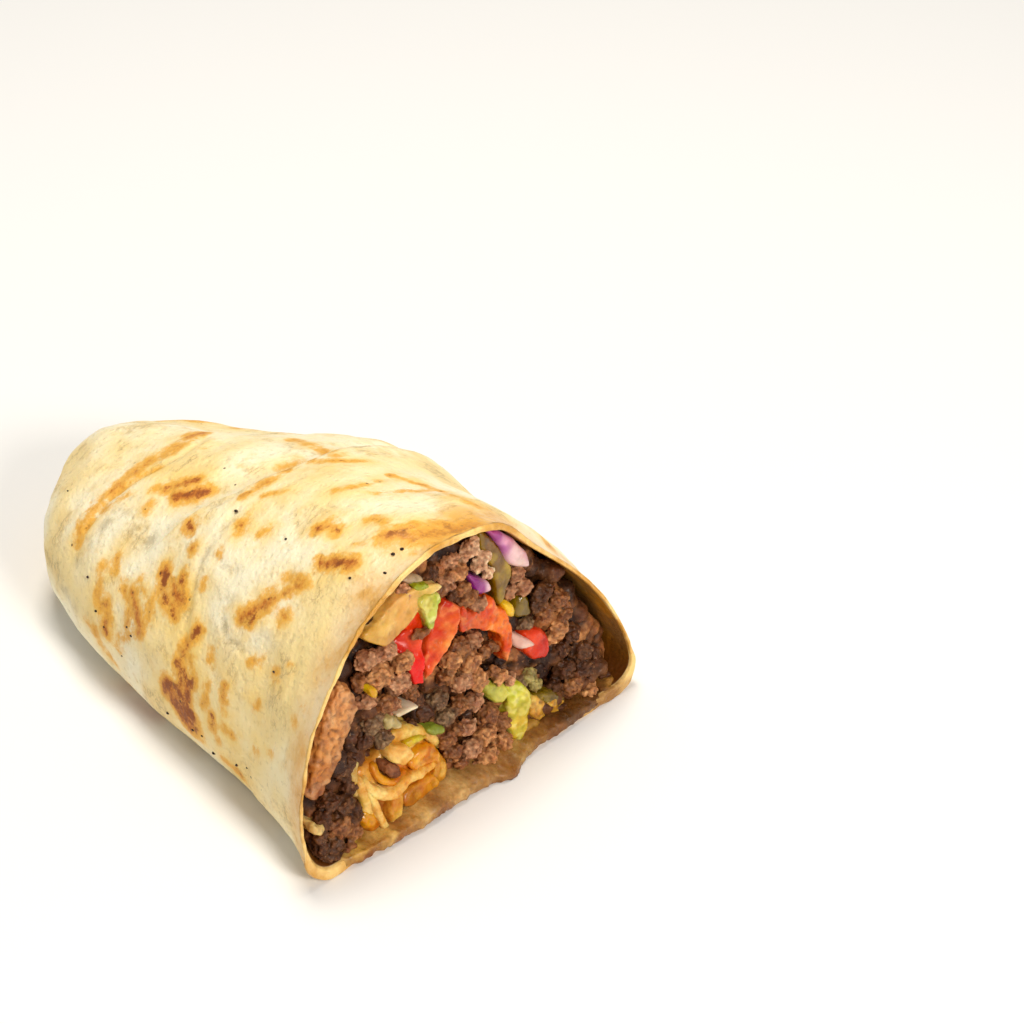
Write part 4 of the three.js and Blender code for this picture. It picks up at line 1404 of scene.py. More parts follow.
        "outline": [(390, 752, 1.8), (396, 747), (404, 746), (411, 749), (416, 755, 1.4), (411, 761),
            (406, 767), (399, 766), (392, 761, 1.6)],
        "colors": [(398, 756, (246, 212, 128)), (408, 754, (248, 218, 136)), (404, 764, (240, 196, 94))],
        "rough": ((2.6, 0.3), (0.9, 0.1)), "voxel": 0.22, "round": 0.6,
        "streaks": [((228, 186, 80), 1.2, 0.4)],
    },
    "foldCap": {
        "kind": "cheese", "setback": 2.4, "depth": 8,
        "line": [(391, 751, 3.2), (396, 741, 2.8), (406, 735, 2.4), (418, 733, 2.2), (430, 735, 2.4),
            (437, 742, 2.6), (438, 750, 3.0)],
        "widths": [8, 11, 12, 11, 10, 10, 7],
        "colors": [(396, 744, (238, 206, 112)), (412, 735, (240, 214, 118)), (434, 742, (230, 190, 100))],
        "rough": ((2.4, 0.3), (0.9, 0.12)), "voxel": 0.24,
    },
    "foldStreak": {
        "kind": "cheese", "setback": 1.6, "depth": 5,
        "line": [(403, 750, 2.2), (410, 745), (418, 740), (427, 736, 2.2)],
        "widths": [4, 6, 6, 3],
        "colors": [(410, 745, (218, 200, 24)), (420, 739, (202, 190, 40))],
        "rough": ((1.8, 0.2), (0.8, 0.08)), "voxel": 0.22, "round": 0.5, "soften": 2,
    },
    "foldSide": {
        "kind": "cheese", "setback": 2.0, "depth": 8,
        "outline": [(415, 754, 2.4), (424, 749), (434, 745, 2.6), (440, 753), (448, 760, 2.4), (448, 773),
            (443, 785), (435, 793, 2.4), (430, 790), (435, 779), (438, 769), (434, 764), (424, 768),
            (414, 771), (411, 763)],
        "colors": [(424, 758, (226, 152, 12)), (436, 752, (216, 142, 10)), (445, 768, (212, 156, 48)),
            (438, 788, (200, 132, 20)), (416, 766, (234, 170, 30))],
        "rough": ((2.2, 0.4), (0.9, 0.14)), "voxel": 0.24, "round": 0.8,
        "streaks": [((246, 196, 84), 1.3, 0.6)],
    },
    "foldPocket": {
        "kind": "cheese", "setback": 1.8, "depth": 8,
        "outline": [(408, 792, 1.4), (416, 786), (425, 781), (435, 777), (441, 781), (437, 790), (427, 798),
            (416, 805, 1.4), (407, 808, 1.2), (404, 800, 1.2)],
        "colors": [(414, 796, (176, 108, 14)), (428, 787, (222, 150, 24)), (420, 801, (206, 134, 26)),
            (437, 782, (226, 160, 40))],
        "rough": ((2.2, 0.3), (0.9, 0.1)), "voxel": 0.26, "round": 0.6,
        "streaks": [((238, 176, 60), 1.6, 0.4)],
    },
    "foldCup": {
        "kind": "cheese", "setback": 2.4, "depth": 7,
        "line": [(377, 766, 3.0), (379, 775, 2.4), (386, 782, 1.9), (396, 784, 1.7), (405, 779, 1.9),
            (409, 772, 2.4)],
        "widths": [6, 8, 8, 8, 7, 5],
        "colors": [(380, 774, (222, 154, 26)), (394, 784, (218, 138, 8)), (406, 777, (232, 166, 30))],
        "rough": ((2.0, 0.25), (0.8, 0.08)), "voxel": 0.24, "round": 0.7,
    },
    "foldCrumb": {
        "kind": "crumb", "setback": 0.9, "depth": 5,
        "outline": [(388, 770, 1.2), (391, 767), (396, 766), (401, 768), (404, 773), (402, 778), (396, 780),
            (390, 777)],
        "colors": [(392, 770, (156, 98, 60)), (399, 776, (122, 72, 40))],
        "rough": ((1.6, 0.3), (0.7, 0.16)), "voxel": 0.22, "round": 0.9, "swell": 0.3,
    },
    "foldTail": {
        "kind": "cheese", "setback": 1.4, "depth": 7,
        "outline": [(352, 846, 1.8), (362, 842), (374, 840), (386, 834), (391, 838), (378, 847), (362, 856),
            (352, 856)],
        "colors": [(366, 848, (214, 174, 84)), (386, 838, (226, 184, 92)), (354, 852, (200, 160, 60))],
        "rough": ((2.0, 0.45), (0.8, 0.18)), "voxel": 0.24,
    },
    "lettuceLeaf": {
        "kind": "lettuce", "replaces": "lettuce_leaf", "setback": 1.2, "depth": 20,
        "outline": [(508, 686, 1.8), (520, 683, 1.4), (530, 689, 1.2), (533, 702), (530, 716), (529, 728),
            (522, 742), (514, 738), (509, 726, 1.6), (508, 716, 1.6), (512, 704), (507, 696, 1.8)],
        "colors": [(520, 690, (190, 190, 26)), (524, 706, (196, 184, 12)), (522, 697, (224, 214, 80)),
            (516, 730, (226, 192, 52)), (526, 722, (216, 184, 36))],
        "rough": ((3.0, 0.3), (1.1, 0.2)), "voxel": 0.26,
        # the pale streak is a painted highlight; the darker green one is the leaf's own tone
        "streaks": [((168, 172, 18), 1.8, 0.5), ((246, 240, 150), 1.0, 0.5)],
    },
    "lettuceFold": {
        "kind": "lettuce", "setback": 2.2, "depth": 10,
        "outline": [(484, 683), (496, 683), (508, 687), (510, 697, 1.6), (503, 704), (493, 702),
            (486, 694)],
        "colors": [(492, 690, (176, 175, 66)), (504, 694, (206, 200, 87))],
        "rough": ((2.4, 0.35), (0.9, 0.15)), "voxel": 0.28,
    },
    "cheeseBit": {
        "kind": "cheese", "replaces": "cheese_bit", "setback": 1.8, "depth": 8,
        "outline": [(529, 704), (535, 700), (541, 698), (546, 703), (544, 709), (547, 716), (540, 722),
            (534, 720), (531, 713)],
        "colors": [(536, 704, (240, 206, 104)), (542, 716, (198, 144, 44)), (534, 718, (220, 172, 62))],
        "rough": ((1.8, 0.45), (0.8, 0.2)), "voxel": 0.24, "streaks": [((150, 104, 30), 1.2, 0.5)],
    },
    "cheeseCrumb": {
        "kind": "cheese", "setback": 2.2, "depth": 6,
        "outline": [(549, 704, 1.8), (555, 699), (562, 697), (567, 701), (562, 707), (563, 713), (555, 715),
            (550, 711)],
        "colors": [(554, 703, (236, 196, 84)), (562, 704, (196, 148, 40)), (556, 712, (214, 160, 52))],
        "rough": ((1.5, 0.45), (0.7, 0.18)), "voxel": 0.24, "streaks": [((146, 102, 30), 1.0, 0.5)],
    },
    "pickleCrumb": {
        "kind": "pickle", "setback": 2.4, "depth": 6,
        "outline": [(536, 697), (551, 692), (566, 697), (563, 705), (548, 706), (538, 704)],
        "colors": [(545, 699, (150, 123, 13)), (560, 700, (124, 96, 8))],
        "rough": ((1.8, 0.3), (0.7, 0.12)),
    },
    # a ridge whose dark olive-brown is partly sauce, partly painted shade
    "sauceRidge": {
        "kind": "cheese", "setback": 1.8, "depth": 8,
        "outline": [(527, 724), (538, 720), (550, 722), (562, 720), (570, 714), (566, 727), (548, 737),
            (530, 745), (524, 738)],
        "colors": [(534, 732, (168, 124, 40)), (556, 724, (140, 96, 27))],
        "rough": ((2.0, 0.4), (0.8, 0.15)),
    },
    "yellowBit": {
        "kind": "cheese", "setback": 1.2, "depth": 5,
        "outline": [(504, 605), (511, 603), (517, 610), (515, 618), (509, 616)],
        "colors": [(510, 610, (236, 196, 32))],
        "rough": ((1.4, 0.2),), "voxel": 0.24,
    },
    "greenCrumb": {
        "kind": "lettuce", "setback": 1.4, "depth": 4,
        "outline": [(428, 731), (437, 727), (447, 729), (444, 735), (434, 737)],
        "colors": [(438, 731, (134, 146, 43))],
        "rough": ((1.4, 0.2),), "voxel": 0.24,
    },
    "paleCrumb": {
        "kind": "onion", "setback": 0.8, "depth": 4,
        "outline": [(314, 829), (318, 825), (323, 829), (326, 826), (326, 833), (321, 838), (316, 836)],
        "colors": [(321, 831, (226, 196, 116))],
        "rough": ((1.2, 0.3), (0.6, 0.12)), "voxel": 0.24,
    },
}


# The block under a piece's outline, from the plane of the cut back into the wrap.
def chunkBlock(spots, item):
    bm = bmesh.new()
    face = bm.faces.new([bm.verts.new((wrap["length"], p[1], p[2])) for p in spots])
    bmesh.ops.triangulate(bm, faces=[face])
    push = bmesh.ops.extrude_face_region(bm, geom=bm.faces[:])
    moved = [v for v in push["geom"] if isinstance(v, bmesh.types.BMVert)]
    bmesh.ops.translate(bm, verts=moved, vec=(-item["depth"], 0, 0))
    bmesh.ops.recalc_face_normals(bm, faces=bm.faces)
    return remeshed(asMesh(bm, "block"), item["voxel"])


# A piece whose front shows at the cut: its outline with setbacks, run back into the wrap.
def makeChunk(name, item):
    item = {**chunkForm, **item}
    corners = item["outline"] if "outline" in item else widened(item["line"], item["widths"])
    corners = [tuple(c) if len(c) == 3 else (c[0], c[1], item["setback"]) for c in corners]
    line = rounded(corners) if item["smooth"] else corners
    spots = [fromPhoto(*p) for p in line]
    setbacks = [(p[1:], (corner[2],)) for p, corner in zip(spots, line)]
    mesh = chunkBlock(spots, item)
    edges = readEdges(mesh)
    points = relaxed(readPoints(mesh), edges, item["soften"])
    # the front rounds off towards its outline
    side = distanceToLine(points[:, 1:], [p[1:] for p in spots + spots[:1]])
    reach = item["round"]
    front = smoothStep(wrap["length"] - reach * item["frontReach"], wrap["length"], points[:, 0])
    fall = reach - np.sqrt(np.maximum(reach ** 2 - np.maximum(reach - side, 0) ** 2, 0))
    points[:, 0] += front * (item["swell"] * smoothStep(*item["swellFade"], side) - fall)
    points[:, 0] -= blended(points[:, 1:], setbacks)[:, 0] + wrap["cutLean"] * points[:, 2]
    writePoints(mesh, points)
    seed = len(name)
    change = uneven(points, [(size, height, size) for size, height in item["rough"]], seed)
    if item["grain"]:
        size, height = item["grain"]
        change = change + height * (0.5 - grainAt(points, size, seed))
    points = points + readNormals(mesh) * change[:, None]
    anchors = [(fromPhoto(px, py, item["setback"]), tone(*color)[:3]) for px, py, color in item["colors"]]
    colors = blended(points, anchors)
    for number, (color, size, most) in enumerate(item["streaks"]):
        share = most * smoothStep(*item["streakFade"], noiseAt(points, size, seed + 9 + number))[:, None]
        colors = colors * (1 - share) + np.array(tone(*color)[:3]) * share
    # painted shade: darker in the hollows of the roughness
    hollow = np.maximum(relaxed(change, edges, item["hollowSpread"]) - change, 0)
    colors = colors * np.clip(1 - item["hollowDark"] * hollow, item["darkest"], 1)[:, None]
    writePoints(mesh, keptInside(points))
    addTint(mesh, colors)
    material, slotName = kinds[item["kind"]]
    placePiece(mesh, name, foodMaterials[material], item["replaces"])


# The meat's shades, partly its own browns; dark and deep also stand for painted shade on the deep-set lumps,
# the right side, the fill and the core.
beefShades = {
    name: tone(*color)[:3] for name, color in {
        "pink": (192, 138, 98), "light": (200, 140, 86), "brown": (152, 98, 54), "dark": (96, 57, 28),
        "pale": (234, 188, 146), "grey": (132, 102, 70), "green": (164, 148, 84), "deep": (56, 30, 14),
    }.items()
}

beef = {
    "voxel": 0.21,
    "pixel": 0.171,  # mm
    "wider": 1.15,
    "deeper": 0.9,  # how far behind its front a lump's centre lies, as a share of its radius
    "coreShare": 0.97,
    "crumbs": (0.26, 0.56),  # smallest and largest crumb, and how closely they cover a lump
    "cover": 3.4,
    "smaller": (0.4, 0.75),
    "lean": (0.35, -0.1, 0.15),  # crumbs are likelier in front, on the near side and above
    "stand": (0.88, 1.02),
    "crumbShape": (0.8, 1.25),
    "crumbShade": (0.78, 1.22),
    "cells": ((0.9, 0.2), (0.5, 0.12)),
    "cellDepth": 1.8,
    "noises": ((1.4, 0.2, 2), (0.45, 0.12, 3)),
    "hollowSpread": 14,
    "lit": (0.8, 1.9, 0.16, 1.3),  # light on the flat, more per mm it is raised, least and most
    "patches": (2.6, (0.2, 0.24, 0.3)),
    "pale": (0.8, (0.3, 0.42, 0.5)),
    "paleFade": (0.05, 0.4),
    "highlightOnRaised": 0.8,
    # lumps: pixel, half width and half height in pixels, setback of the front in mm, shade
    "lumps": {
        "beefLeft": [
            (366, 660, 12, 10, 1.5, "pink"), (385, 651, 12, 9, 1.1, "pink"),
            (402, 661, 11, 10, 0.9, "light"), (378, 675, 13, 12, 0.7, "light"),
            (397, 682, 12, 12, 1.1, "pink"), (360, 682, 9, 10, 2.2, "brown"),
            (410, 692, 7, 13, 2.5, "brown"), (366, 700, 10, 9, 2.0, "pink"),
            (385, 702, 11, 9, 1.4, "brown"), (372, 722, 12, 10, 2.4, "grey"),
            (382, 739, 10, 9, 2.8, "grey"), (364, 740, 9, 10, 3.2, "dark"), (392, 706, 8, 8, 2.0, "pink"),
            (399, 741, 8, 6, 3.0, "dark"), (408, 727, 8, 8, 3.2, "dark"), (415, 700, 7, 9, 3.4, "dark"),
        ],
        "beefUpper": [
            (449, 560, 9, 8, 2.6, "pink"), (457, 572, 10, 9, 1.8, "light"), (446, 581, 9, 9, 2.2, "pink"),
            (461, 588, 8, 8, 1.6, "brown"), (428, 573, 11, 9, 3.2, "dark"), (438, 590, 9, 8, 2.8, "brown"),
            (473, 545, 7, 9, 1.8, "pale"), (483, 556, 7, 8, 1.5, "pale"), (477, 566, 8, 7, 1.6, "pale"),
            (488, 572, 5, 7, 1.8, "pale"), (469, 597, 9, 7, 1.0, "brown"), (479, 604, 9, 7, 0.7, "pink"),
            (403, 592, 7, 8, 2.2, "pink"), (516, 574, 7, 9, 1.8, "pink"), (523, 586, 7, 10, 1.8, "pink"),
            (509, 592, 6, 8, 2.4, "pink"), (421, 634, 9, 5, 0.9, "brown"), (464, 600, 7, 6, 1.4, "brown"),
            (465, 552, 7, 8, 2.6, "pale"), (452, 596, 7, 6, 2.2, "dark"),
        ],
        # mostly dark: painted shadow over the meat's brown, besides the deep-set lumps
        "beefRight": [
            (541, 592, 11, 10, 2.2, "dark"), (556, 600, 11, 10, 2.0, "brown"),
            (564, 612, 8, 9, 1.8, "brown"), (543, 611, 10, 9, 2.0, "brown"),
            (557, 628, 10, 10, 1.4, "light"), (549, 639, 7, 6, 2.0, "light"),
            (571, 632, 9, 11, 3.3, "dark"), (579, 650, 12, 12, 2.4, "dark"),
            (562, 669, 11, 11, 2.6, "dark"), (583, 668, 11, 10, 1.9, "dark"),
            (572, 684, 12, 10, 1.5, "brown"), (587, 692, 11, 11, 1.1, "light"),
            (560, 650, 9, 9, 3.4, "dark"), (593, 654, 6, 10, 3.2, "dark"), (524, 624, 9, 7, 2.8, "grey"),
            (534, 604, 8, 8, 3.0, "dark"), (552, 686, 9, 8, 3.0, "dark"), (536, 668, 8, 7, 4.2, "deep"),
            (572, 702, 9, 8, 2.4, "brown"), (558, 709, 8, 6, 2.0, "dark"), (545, 722, 8, 6, 2.2, "grey"),
            (586, 703, 8, 6, 1.8, "dark"), (599, 689, 6, 6, 1.8, "dark"), (603, 675, 6, 8, 2.6, "dark"),
        ],
        "beefCentre": [
            (459, 647, 12, 10, 1.6, "brown"), (472, 640, 9, 9, 1.8, "pink"),
            (450, 660, 10, 10, 1.0, "light"), (468, 662, 12, 11, 0.5, "light"),
            (478, 680, 9, 12, 0.7, "light"), (461, 681, 11, 10, 0.5, "pink"),
            (446, 676, 9, 9, 1.4, "brown"), (474, 700, 9, 10, 0.9, "pink"), (483, 652, 7, 8, 2.2, "brown"),
            (437, 699, 11, 10, 2.3, "grey"), (423, 712, 11, 10, 2.8, "dark"),
            (444, 716, 12, 10, 1.9, "grey"), (456, 729, 9, 8, 1.9, "brown"), (458, 704, 9, 9, 1.8, "brown"),
            (500, 676, 7, 7, 1.3, "light"), (509, 679, 6, 6, 1.5, "pink"), (492, 672, 5, 6, 2.0, "brown"),
            (528, 676, 9, 8, 2.0, "green"), (535, 685, 7, 6, 2.4, "green"), (519, 682, 6, 6, 2.4, "grey"),
            (492, 645, 8, 7, 3.0, "brown"), (498, 658, 9, 7, 4.4, "deep"),
        ],
        "beefLower": [
            (467, 727, 9, 8, 1.1, "pink"), (487, 714, 12, 11, 0.9, "brown"),
            (500, 722, 10, 10, 1.1, "brown"), (483, 735, 13, 11, 0.3, "light"),
            (503, 741, 9, 11, 0.7, "light"), (470, 748, 12, 10, 0.3, "pink"),
            (486, 755, 12, 11, 0.0, "light"), (500, 757, 9, 8, 0.5, "pink"), (452, 752, 9, 9, 1.2, "brown"),
            (446, 740, 9, 8, 1.6, "brown"), (462, 762, 8, 6, 1.0, "brown"), (517, 752, 8, 6, 1.8, "brown"),
            (474, 765, 9, 6, 1.2, "brown"), (489, 768, 8, 5, 0.8, "pink"), (531, 742, 8, 6, 2.2, "dark"),
        ],
        "beefCorner": [
            (342, 770, 10, 10, 3.0, "dark"), (348, 786, 9, 11, 2.8, "dark"),
            (328, 802, 10, 10, 1.8, "dark"), (342, 804, 11, 11, 1.6, "dark"),
            (322, 821, 9, 11, 1.4, "dark"), (338, 826, 12, 12, 0.8, "brown"),
            (353, 812, 8, 12, 2.0, "dark"), (352, 831, 9, 10, 1.4, "brown"),
            (333, 846, 11, 10, 0.8, "dark"), (346, 850, 9, 8, 1.0, "brown"), (320, 839, 7, 8, 1.2, "dark"),
            (367, 838, 7, 6, 1.6, "brown"), (349, 760, 7, 8, 3.4, "dark"), (331, 857, 10, 8, 1.0, "dark"),
            (345, 861, 9, 7, 1.0, "dark"), (320, 850, 7, 8, 1.4, "dark"), (358, 850, 8, 7, 1.6, "brown"),
        ],
    },
}

fill = {
    "voxel": 0.56,
    "tries": 6000,
    "across": (-38, 40),
    "up": (2, 50),
    "gap": 2.4,
    "inset": 1.6,
    "setback": (5.0, 8.0),
    "radius": (1.5, 2.7),
    "cover": 0.5,
    "shades": ("dark", "brown", "dark", "deep"),
    "lowRow": [-37, -34, -31, 6, 9, 12, 15, 18, 21, 24, 27, 30, 33],
    "lowSetback": 4.2,
    "lowChange": 0.3,
    "lowHeight": 4.2,
    "lowRadius": (1.4, 1.8),
}

core = {"setback": 7.0, "inset": 1.6, "firstTurn": 0.1, "endRows": 10, "rows": 24, "gap": 4, "everyColumn": 5}


# Many balls in one mesh: copies of one small sphere's points and faces.
class BallHeap:
    def __init__(self):
        self.forms = {}
        for fine in (2, 3):
            bm = bmesh.new()
            bmesh.ops.create_icosphere(bm, subdivisions=fine, radius=1.0)
            bm.verts.index_update()
            corners = np.array([v.co[:] for v in bm.verts])
            faces = np.array([[v.index for v in f.verts] for f in bm.faces])
            self.forms[fine] = (corners, faces)
            bm.free()
        self.points, self.faces, self.count, self.spots = [], [], 0, []

    def add(self, centre, radii, fine):
        corners, faces = self.forms[fine]
        self.points.append(corners * np.array(radii) + np.array(centre))
        self.faces.append(faces + self.count)
        self.count += len(corners)

    # A lump with its crumbs, and their places and shades.
    def addLump(self, centre, radii, chance, shade, share=1.0):
        self.add(centre, [r * beef["coreShare"] for r in radii], 3)
        low, high = beef["crumbs"]
        mean = (radii[0] * radii[1] * radii[2]) ** (1 / 3)
        often, smaller = beef["smaller"]
        for _ in range(int(share * beef["cover"] * (mean / (0.5 * (low + high))) ** 2)):
            way = Vector([chance.gauss(lean, 1) for lean in beef["lean"]]).normalized()
            size = chance.uniform(low, high) * (smaller if chance.random() < often else 1.0)
            reach = chance.uniform(*beef["stand"])
            at = [c + w * r * reach for c, w, r in zip(centre, way, radii)]
            self.add(at, [size * chance.uniform(*beef["crumbShape"]) for _ in range(3)], 2)
            lighter = chance.uniform(*beef["crumbShade"])
            self.spots.append((at, [c * lighter for c in shade]))

    def mesh(self):
        made = bpy.data.meshes.new("balls")
        made.from_pydata(np.concatenate(self.points).tolist(), [], np.concatenate(self.faces).tolist())
        return made


# The shade at each point, from the two nearest crumbs.
def shadeOf(points, spots, soft=0.15):
    nearest = KDTree(len(spots))
    for k, (place, _) in enumerate(spots):
        nearest.insert(Vector(place), k)
    nearest.balance()
    shades = np.array([color for _, color in spots])
    found = []
    for p in points:
        near = nearest.find_n(Vector(p), 2)
        gaps = [1 / (gap + soft) ** 2 for _, _, gap in near]
        found.append(sum(shades[k] * g for (_, k, _), g in zip(near, gaps)) / sum(gaps))
    return np.array(found)


# Remeshes the balls, then adds the meat's grain, its tint, painted shade in the hollows and painted
# highlights on the raised grains.
def finishBeef(heap, name, voxel, seed, replaced=None):
    mesh = remeshed(heap.mesh(), voxel)
    edges = readEdges(mesh)
    points = relaxed(readPoints(mesh), edges, 1)
    writePoints(mesh, points)
    normals = readNormals(mesh)
    change = uneven(points, beef["noises"], seed)
    for number, (size, height) in enumerate(beef["cells"]):
        change = change + height * (0.5 - beef["cellDepth"] * grainAt(points, size, seed + number) ** 2)
    points = points + normals * change[:, None]
    colors = relaxed(shadeOf(points, heap.spots), edges, 1)
    # painted shade: hollows are darker; painted light: raised grains a little paler
    raised = ((points - relaxed(points, edges, beef["hollowSpread"])) * normals).sum(1)
    flat, more, least, most = beef["lit"]
    colors = colors * np.clip(flat + more * raised, least, most)[:, None]
    size, tint = beef["patches"]
    colors = colors * (1 + np.array(tint) * noiseAt(points, size, seed + 4)[:, None])
    # paler patches, partly at random and partly painted highlights on the raised grains
    size, tint = beef["pale"]
    crest = noiseAt(points, size, seed + 5) + beef["highlightOnRaised"] * raised
    pale = smoothStep(*beef["paleFade"], crest)[:, None]
    colors = colors * (1 + np.array(tint) * pale)
    writePoints(mesh, keptInside(points))
    addTint(mesh, colors)
    print(name, len(mesh.polygons), "faces")
    placePiece(mesh, name, foodMaterials["mincedBeef"], replaced)


def makeBeef():
    chance = random.Random(7)
    for number, (name, lumps) in enumerate(beef["lumps"].items()):
        heap = BallHeap()
        for px, py, wide, tall, setback, shade in lumps:
            radii = [beef["pixel"] * r for r in (min(wide, tall), wide * beef["wider"], tall)]
            centre = fromPhoto(px, py, setback + radii[0] * beef["deeper"])
            heap.addLump(centre, radii, chance, beefShades[shade])
        finishBeef(heap, name, beef["voxel"], number * 3, "ground_beef" if number == 0 else None)


def insideRing(ring, y, z):
    hit = False
    for (ay, az), (by, bz) in zip(ring, np.roll(ring, -1, 0)):
        if (az > z) != (bz > z) and y < (by - ay) * (z - az) / (bz - az) + ay:
            hit = not hit
    return hit


# Crumbs behind the pieces that show, in dark shades that are painted shade.
def makeFill():
    chance = random.Random(19)
    ring, _ = ringAt(1.0, inside)
    shades = [beefShades[name] for name in fill["shades"]]
    kept = []
    for _ in range(fill["tries"]):
        y, z = chance.uniform(*fill["across"]), chance.uniform(*fill["up"])
        if any((y - a) ** 2 + (z - b) ** 2 < fill["gap"] ** 2 for a, b in kept):
            continue
        if insideRing(ring, y, z) and distanceToLine(np.array([y, z]), ring) >= fill["inset"]:
            kept.append((y, z))
    heap = BallHeap()
    for y, z in kept:
        setback = chance.uniform(*fill["setback"])
        radius = chance.uniform(*fill["radius"])
        centre = (wrap["length"] - setback - wrap["cutLean"] * z, y, z)
        heap.addLump(centre, [radius] * 3, chance, chance.choice(shades), fill["cover"])
    for y in fill["lowRow"]:
        x = wrap["length"] - fill["lowSetback"] + chance.uniform(-fill["lowChange"], fill["lowChange"])
        radius = chance.uniform(*fill["lowRadius"])
        shade = chance.choice(shades[:3])
        heap.addLump((x, y, fill["lowHeight"]), [radius] * 3, chance, shade, fill["cover"])
    finishBeef(heap, "beefFill", fill["voxel"], seed=40)


# A dark core behind the crumbs, so nothing is seen through; its deepest brown is painted shade.
def makeCore():
    start = wrap["wallEnd"]
    turns = np.linspace(core["firstTurn"], math.pi / 2, core["endRows"])
    end = start + wrap["endRounding"] * (1 - np.cos(turns))
    straight = (start + wrap["endRounding"] + core["gap"], wrap["length"] - core["setback"])
    places = np.append(end, np.linspace(*straight, core["rows"]))
    table = skinTable(places, start, [w + core["inset"] for w in inside])[:, ::core["everyColumn"]]
    table[..., 2] -= sunk(table)
    mesh, _ = tubeMesh(table)
    addTint(mesh, beefShades["deep"])
    placePiece(mesh, "beefCore", foodMaterials["mincedBeef"])


# The pasty ledge between the filling and the bottom of the cut, with a tongue over the edge.
ledge = {
    "rows": 260,
    "columns": 44,
    "from": -36.0,
    "to": 35.0,
    "endShare": 0.04,
    "endSize": 0.02,
    "base": 2.4,  # only what lies above this follows the share of the height
    "lowest": 0.15,
    # along the wrap from the cut, up from the table
    "profile": [(-1.4, 0.4), (0.1, 0.5), (0.45, 1.6), (0.35, 3.0), (-0.2, 4.3), (-1.2, 5.2), (-2.8, 6.0),
                (-4.5, 6.9), (-6.5, 7.8), (-8.5, 8.4), (-8.5, 3.2), (-3.0, 2.4)],
    "profileCuts": 6,
    # places across the wrap, how far the front stands out there, and the share of the height
    "places": [-36, -30, -24, -17, -8, 3, 9, 18, 27, 35],
    "out": [-0.9, 0.5, 1.1, 1.5, 1.4, 0.9, 0.5, 0.3, -0.2, -1.2],
    "tall": [0.0, 0.03, 0.05, 0.14, 0.28, 0.3, 0.18, 0.1, 0.08, 0.03],
    "frontFrom": (-3.0, -0.3),
    "tongue": (3.6, 3.8),  # its place and half width across the wrap
    "tongueReach": 1.8,
    "tongueDrop": 0.75,
    "noises": ((3.2, 0.4, 31), (1.2, 0.3, 32), (0.6, 0.16, 33)),
    # colours across the ledge at y and z: darker low down and towards the far side (y from 13 to 28), painted
    # shade over the sauce's own browns
    "colors": [((-35, 3), (226, 190, 110)), ((-30, 3), (212, 166, 76)), ((-29, 1), (150, 92, 36)),
               ((-24, 3), (222, 180, 98)), ((-22, 1), (160, 104, 44)), ((-16, 4), (206, 164, 94)),
               ((-12, 1), (150, 98, 42)), ((-9, 4), (204, 164, 100)), ((1, 4), (186, 144, 84)),
               ((3, 1), (150, 100, 38)), ((9, 3), (186, 148, 78)), ((13, 2), (150, 104, 42)),
               ((18, 1), (132, 84, 32)), ((20, 3), (98, 62, 22)), ((28, 3), (112, 72, 24)),
               ((35, 3), (170, 120, 50))],
    "speckle": (0.34, 0.7),  # share, size in mm
    "stain": (0.36, 3.0, (134, 82, 30)),  # share, size in mm, colour of the darker patches
    "stainFade": (0.0, 0.3),
}


# The ledge's section, its points even along it.
def ledgeSection():
    corners = np.array(rounded(ledge["profile"], ledge["profileCuts"]))
    along = lengthsAlong(corners)
    return spreadAlong(corners, along, np.linspace(0, along[-1], ledge["columns"], endpoint=False))


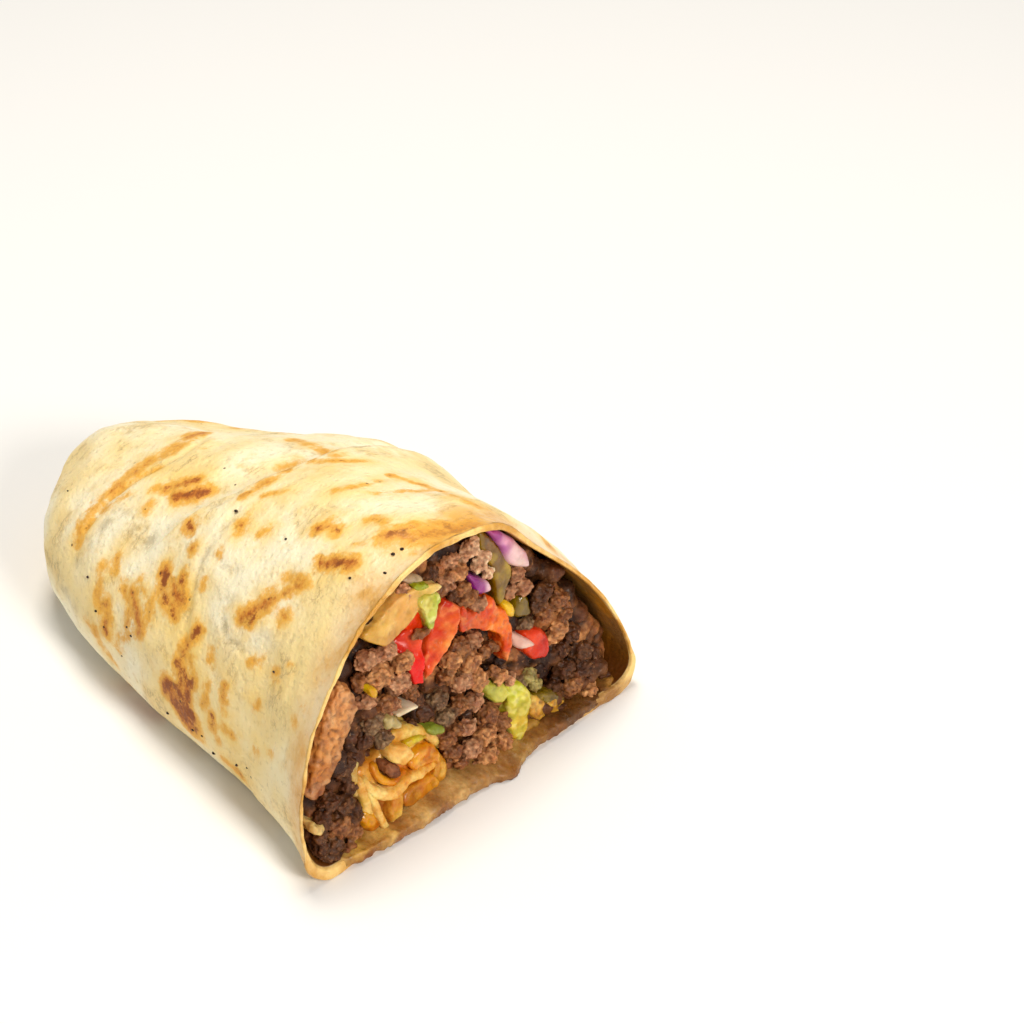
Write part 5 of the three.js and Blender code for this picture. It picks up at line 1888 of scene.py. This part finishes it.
def makeLedge():
    shape = ledgeSection()
    middle = shape.mean(0)
    rows = []
    for share in np.linspace(0, 1, ledge["rows"]):
        y = ledge["from"] + share * (ledge["to"] - ledge["from"])
        size = min(1, (share / ledge["endShare"]) ** 0.5, ((1 - share) / ledge["endShare"]) ** 0.5)
        ahead, up = (middle + (shape - middle) * max(size, ledge["endSize"])).T
        front = smoothStep(*ledge["frontFrom"], ahead)
        out, tall = (np.interp(y, ledge["places"], ledge[key]) for key in ("out", "tall"))
        z = np.minimum(up, ledge["base"]) + np.maximum(up - ledge["base"], 0) * tall
        reach = front * ledge["tongueReach"] * bump(y, *ledge["tongue"])
        x = wrap["length"] - wrap["cutLean"] * z + ahead + out * front + reach
        rows.append(np.stack([x, np.full(len(x), y), z - reach * ledge["tongueDrop"]], 1))
    mesh, _ = tubeMesh(np.array(rows))
    points = readPoints(mesh)
    points = points + readNormals(mesh) * uneven(points, ledge["noises"])[:, None]
    points[:, 2] = np.maximum(points[:, 2], ledge["lowest"])
    writePoints(mesh, points)
    most, size, stain = ledge["stain"]
    share = most * smoothStep(*ledge["stainFade"], noiseAt(points, size, 35))[:, None]
    anchors = [(np.array(place), tone(*color)[:3]) for place, color in ledge["colors"]]
    colors = blended(points[:, 1:], anchors) * (1 - share) + np.array(tone(*stain)[:3]) * share
    most, size = ledge["speckle"]
    addTint(mesh, colors * (1 + most * noiseAt(points, size, 34)[:, None]))
    placePiece(mesh, "saucyLedge", foodMaterials["crumbPaste"])


speck = {"size": (0.2, 0.42), "longer": (0.6, 1.1), "flat": 0.6, "color": tone(46, 32, 18)[:3]}


# Charred specks lying on the skin.
def makeSpecks(places):
    chance = random.Random(3)
    heap = BallHeap()
    for spot in places:
        size = chance.uniform(*speck["size"])
        heap.add(spot, [size, size * chance.uniform(*speck["longer"]), size * speck["flat"]], 2)
    mesh = heap.mesh()
    addTint(mesh, speck["color"])
    placePiece(mesh, "charSpecks", foodMaterials["mincedBeef"])


addCamera()
addFloor()
addLight()
mottle = makeMottle()
foodMaterials = {name: makeFood(name, mottle) for name in foods}
print("studio and materials", len(foodMaterials))
innerWall, specks = makeTortilla(makeSkinMaterial())
for name, item in chunks.items():
    makeChunk(name, item)
print("pieces at the cut", len(chunks))
makeSpecks(specks)
makeLedge()
print("specks", len(specks), "and the ledge")
makeBeef()
makeFill()
makeCore()
print("beef with its fill and core")
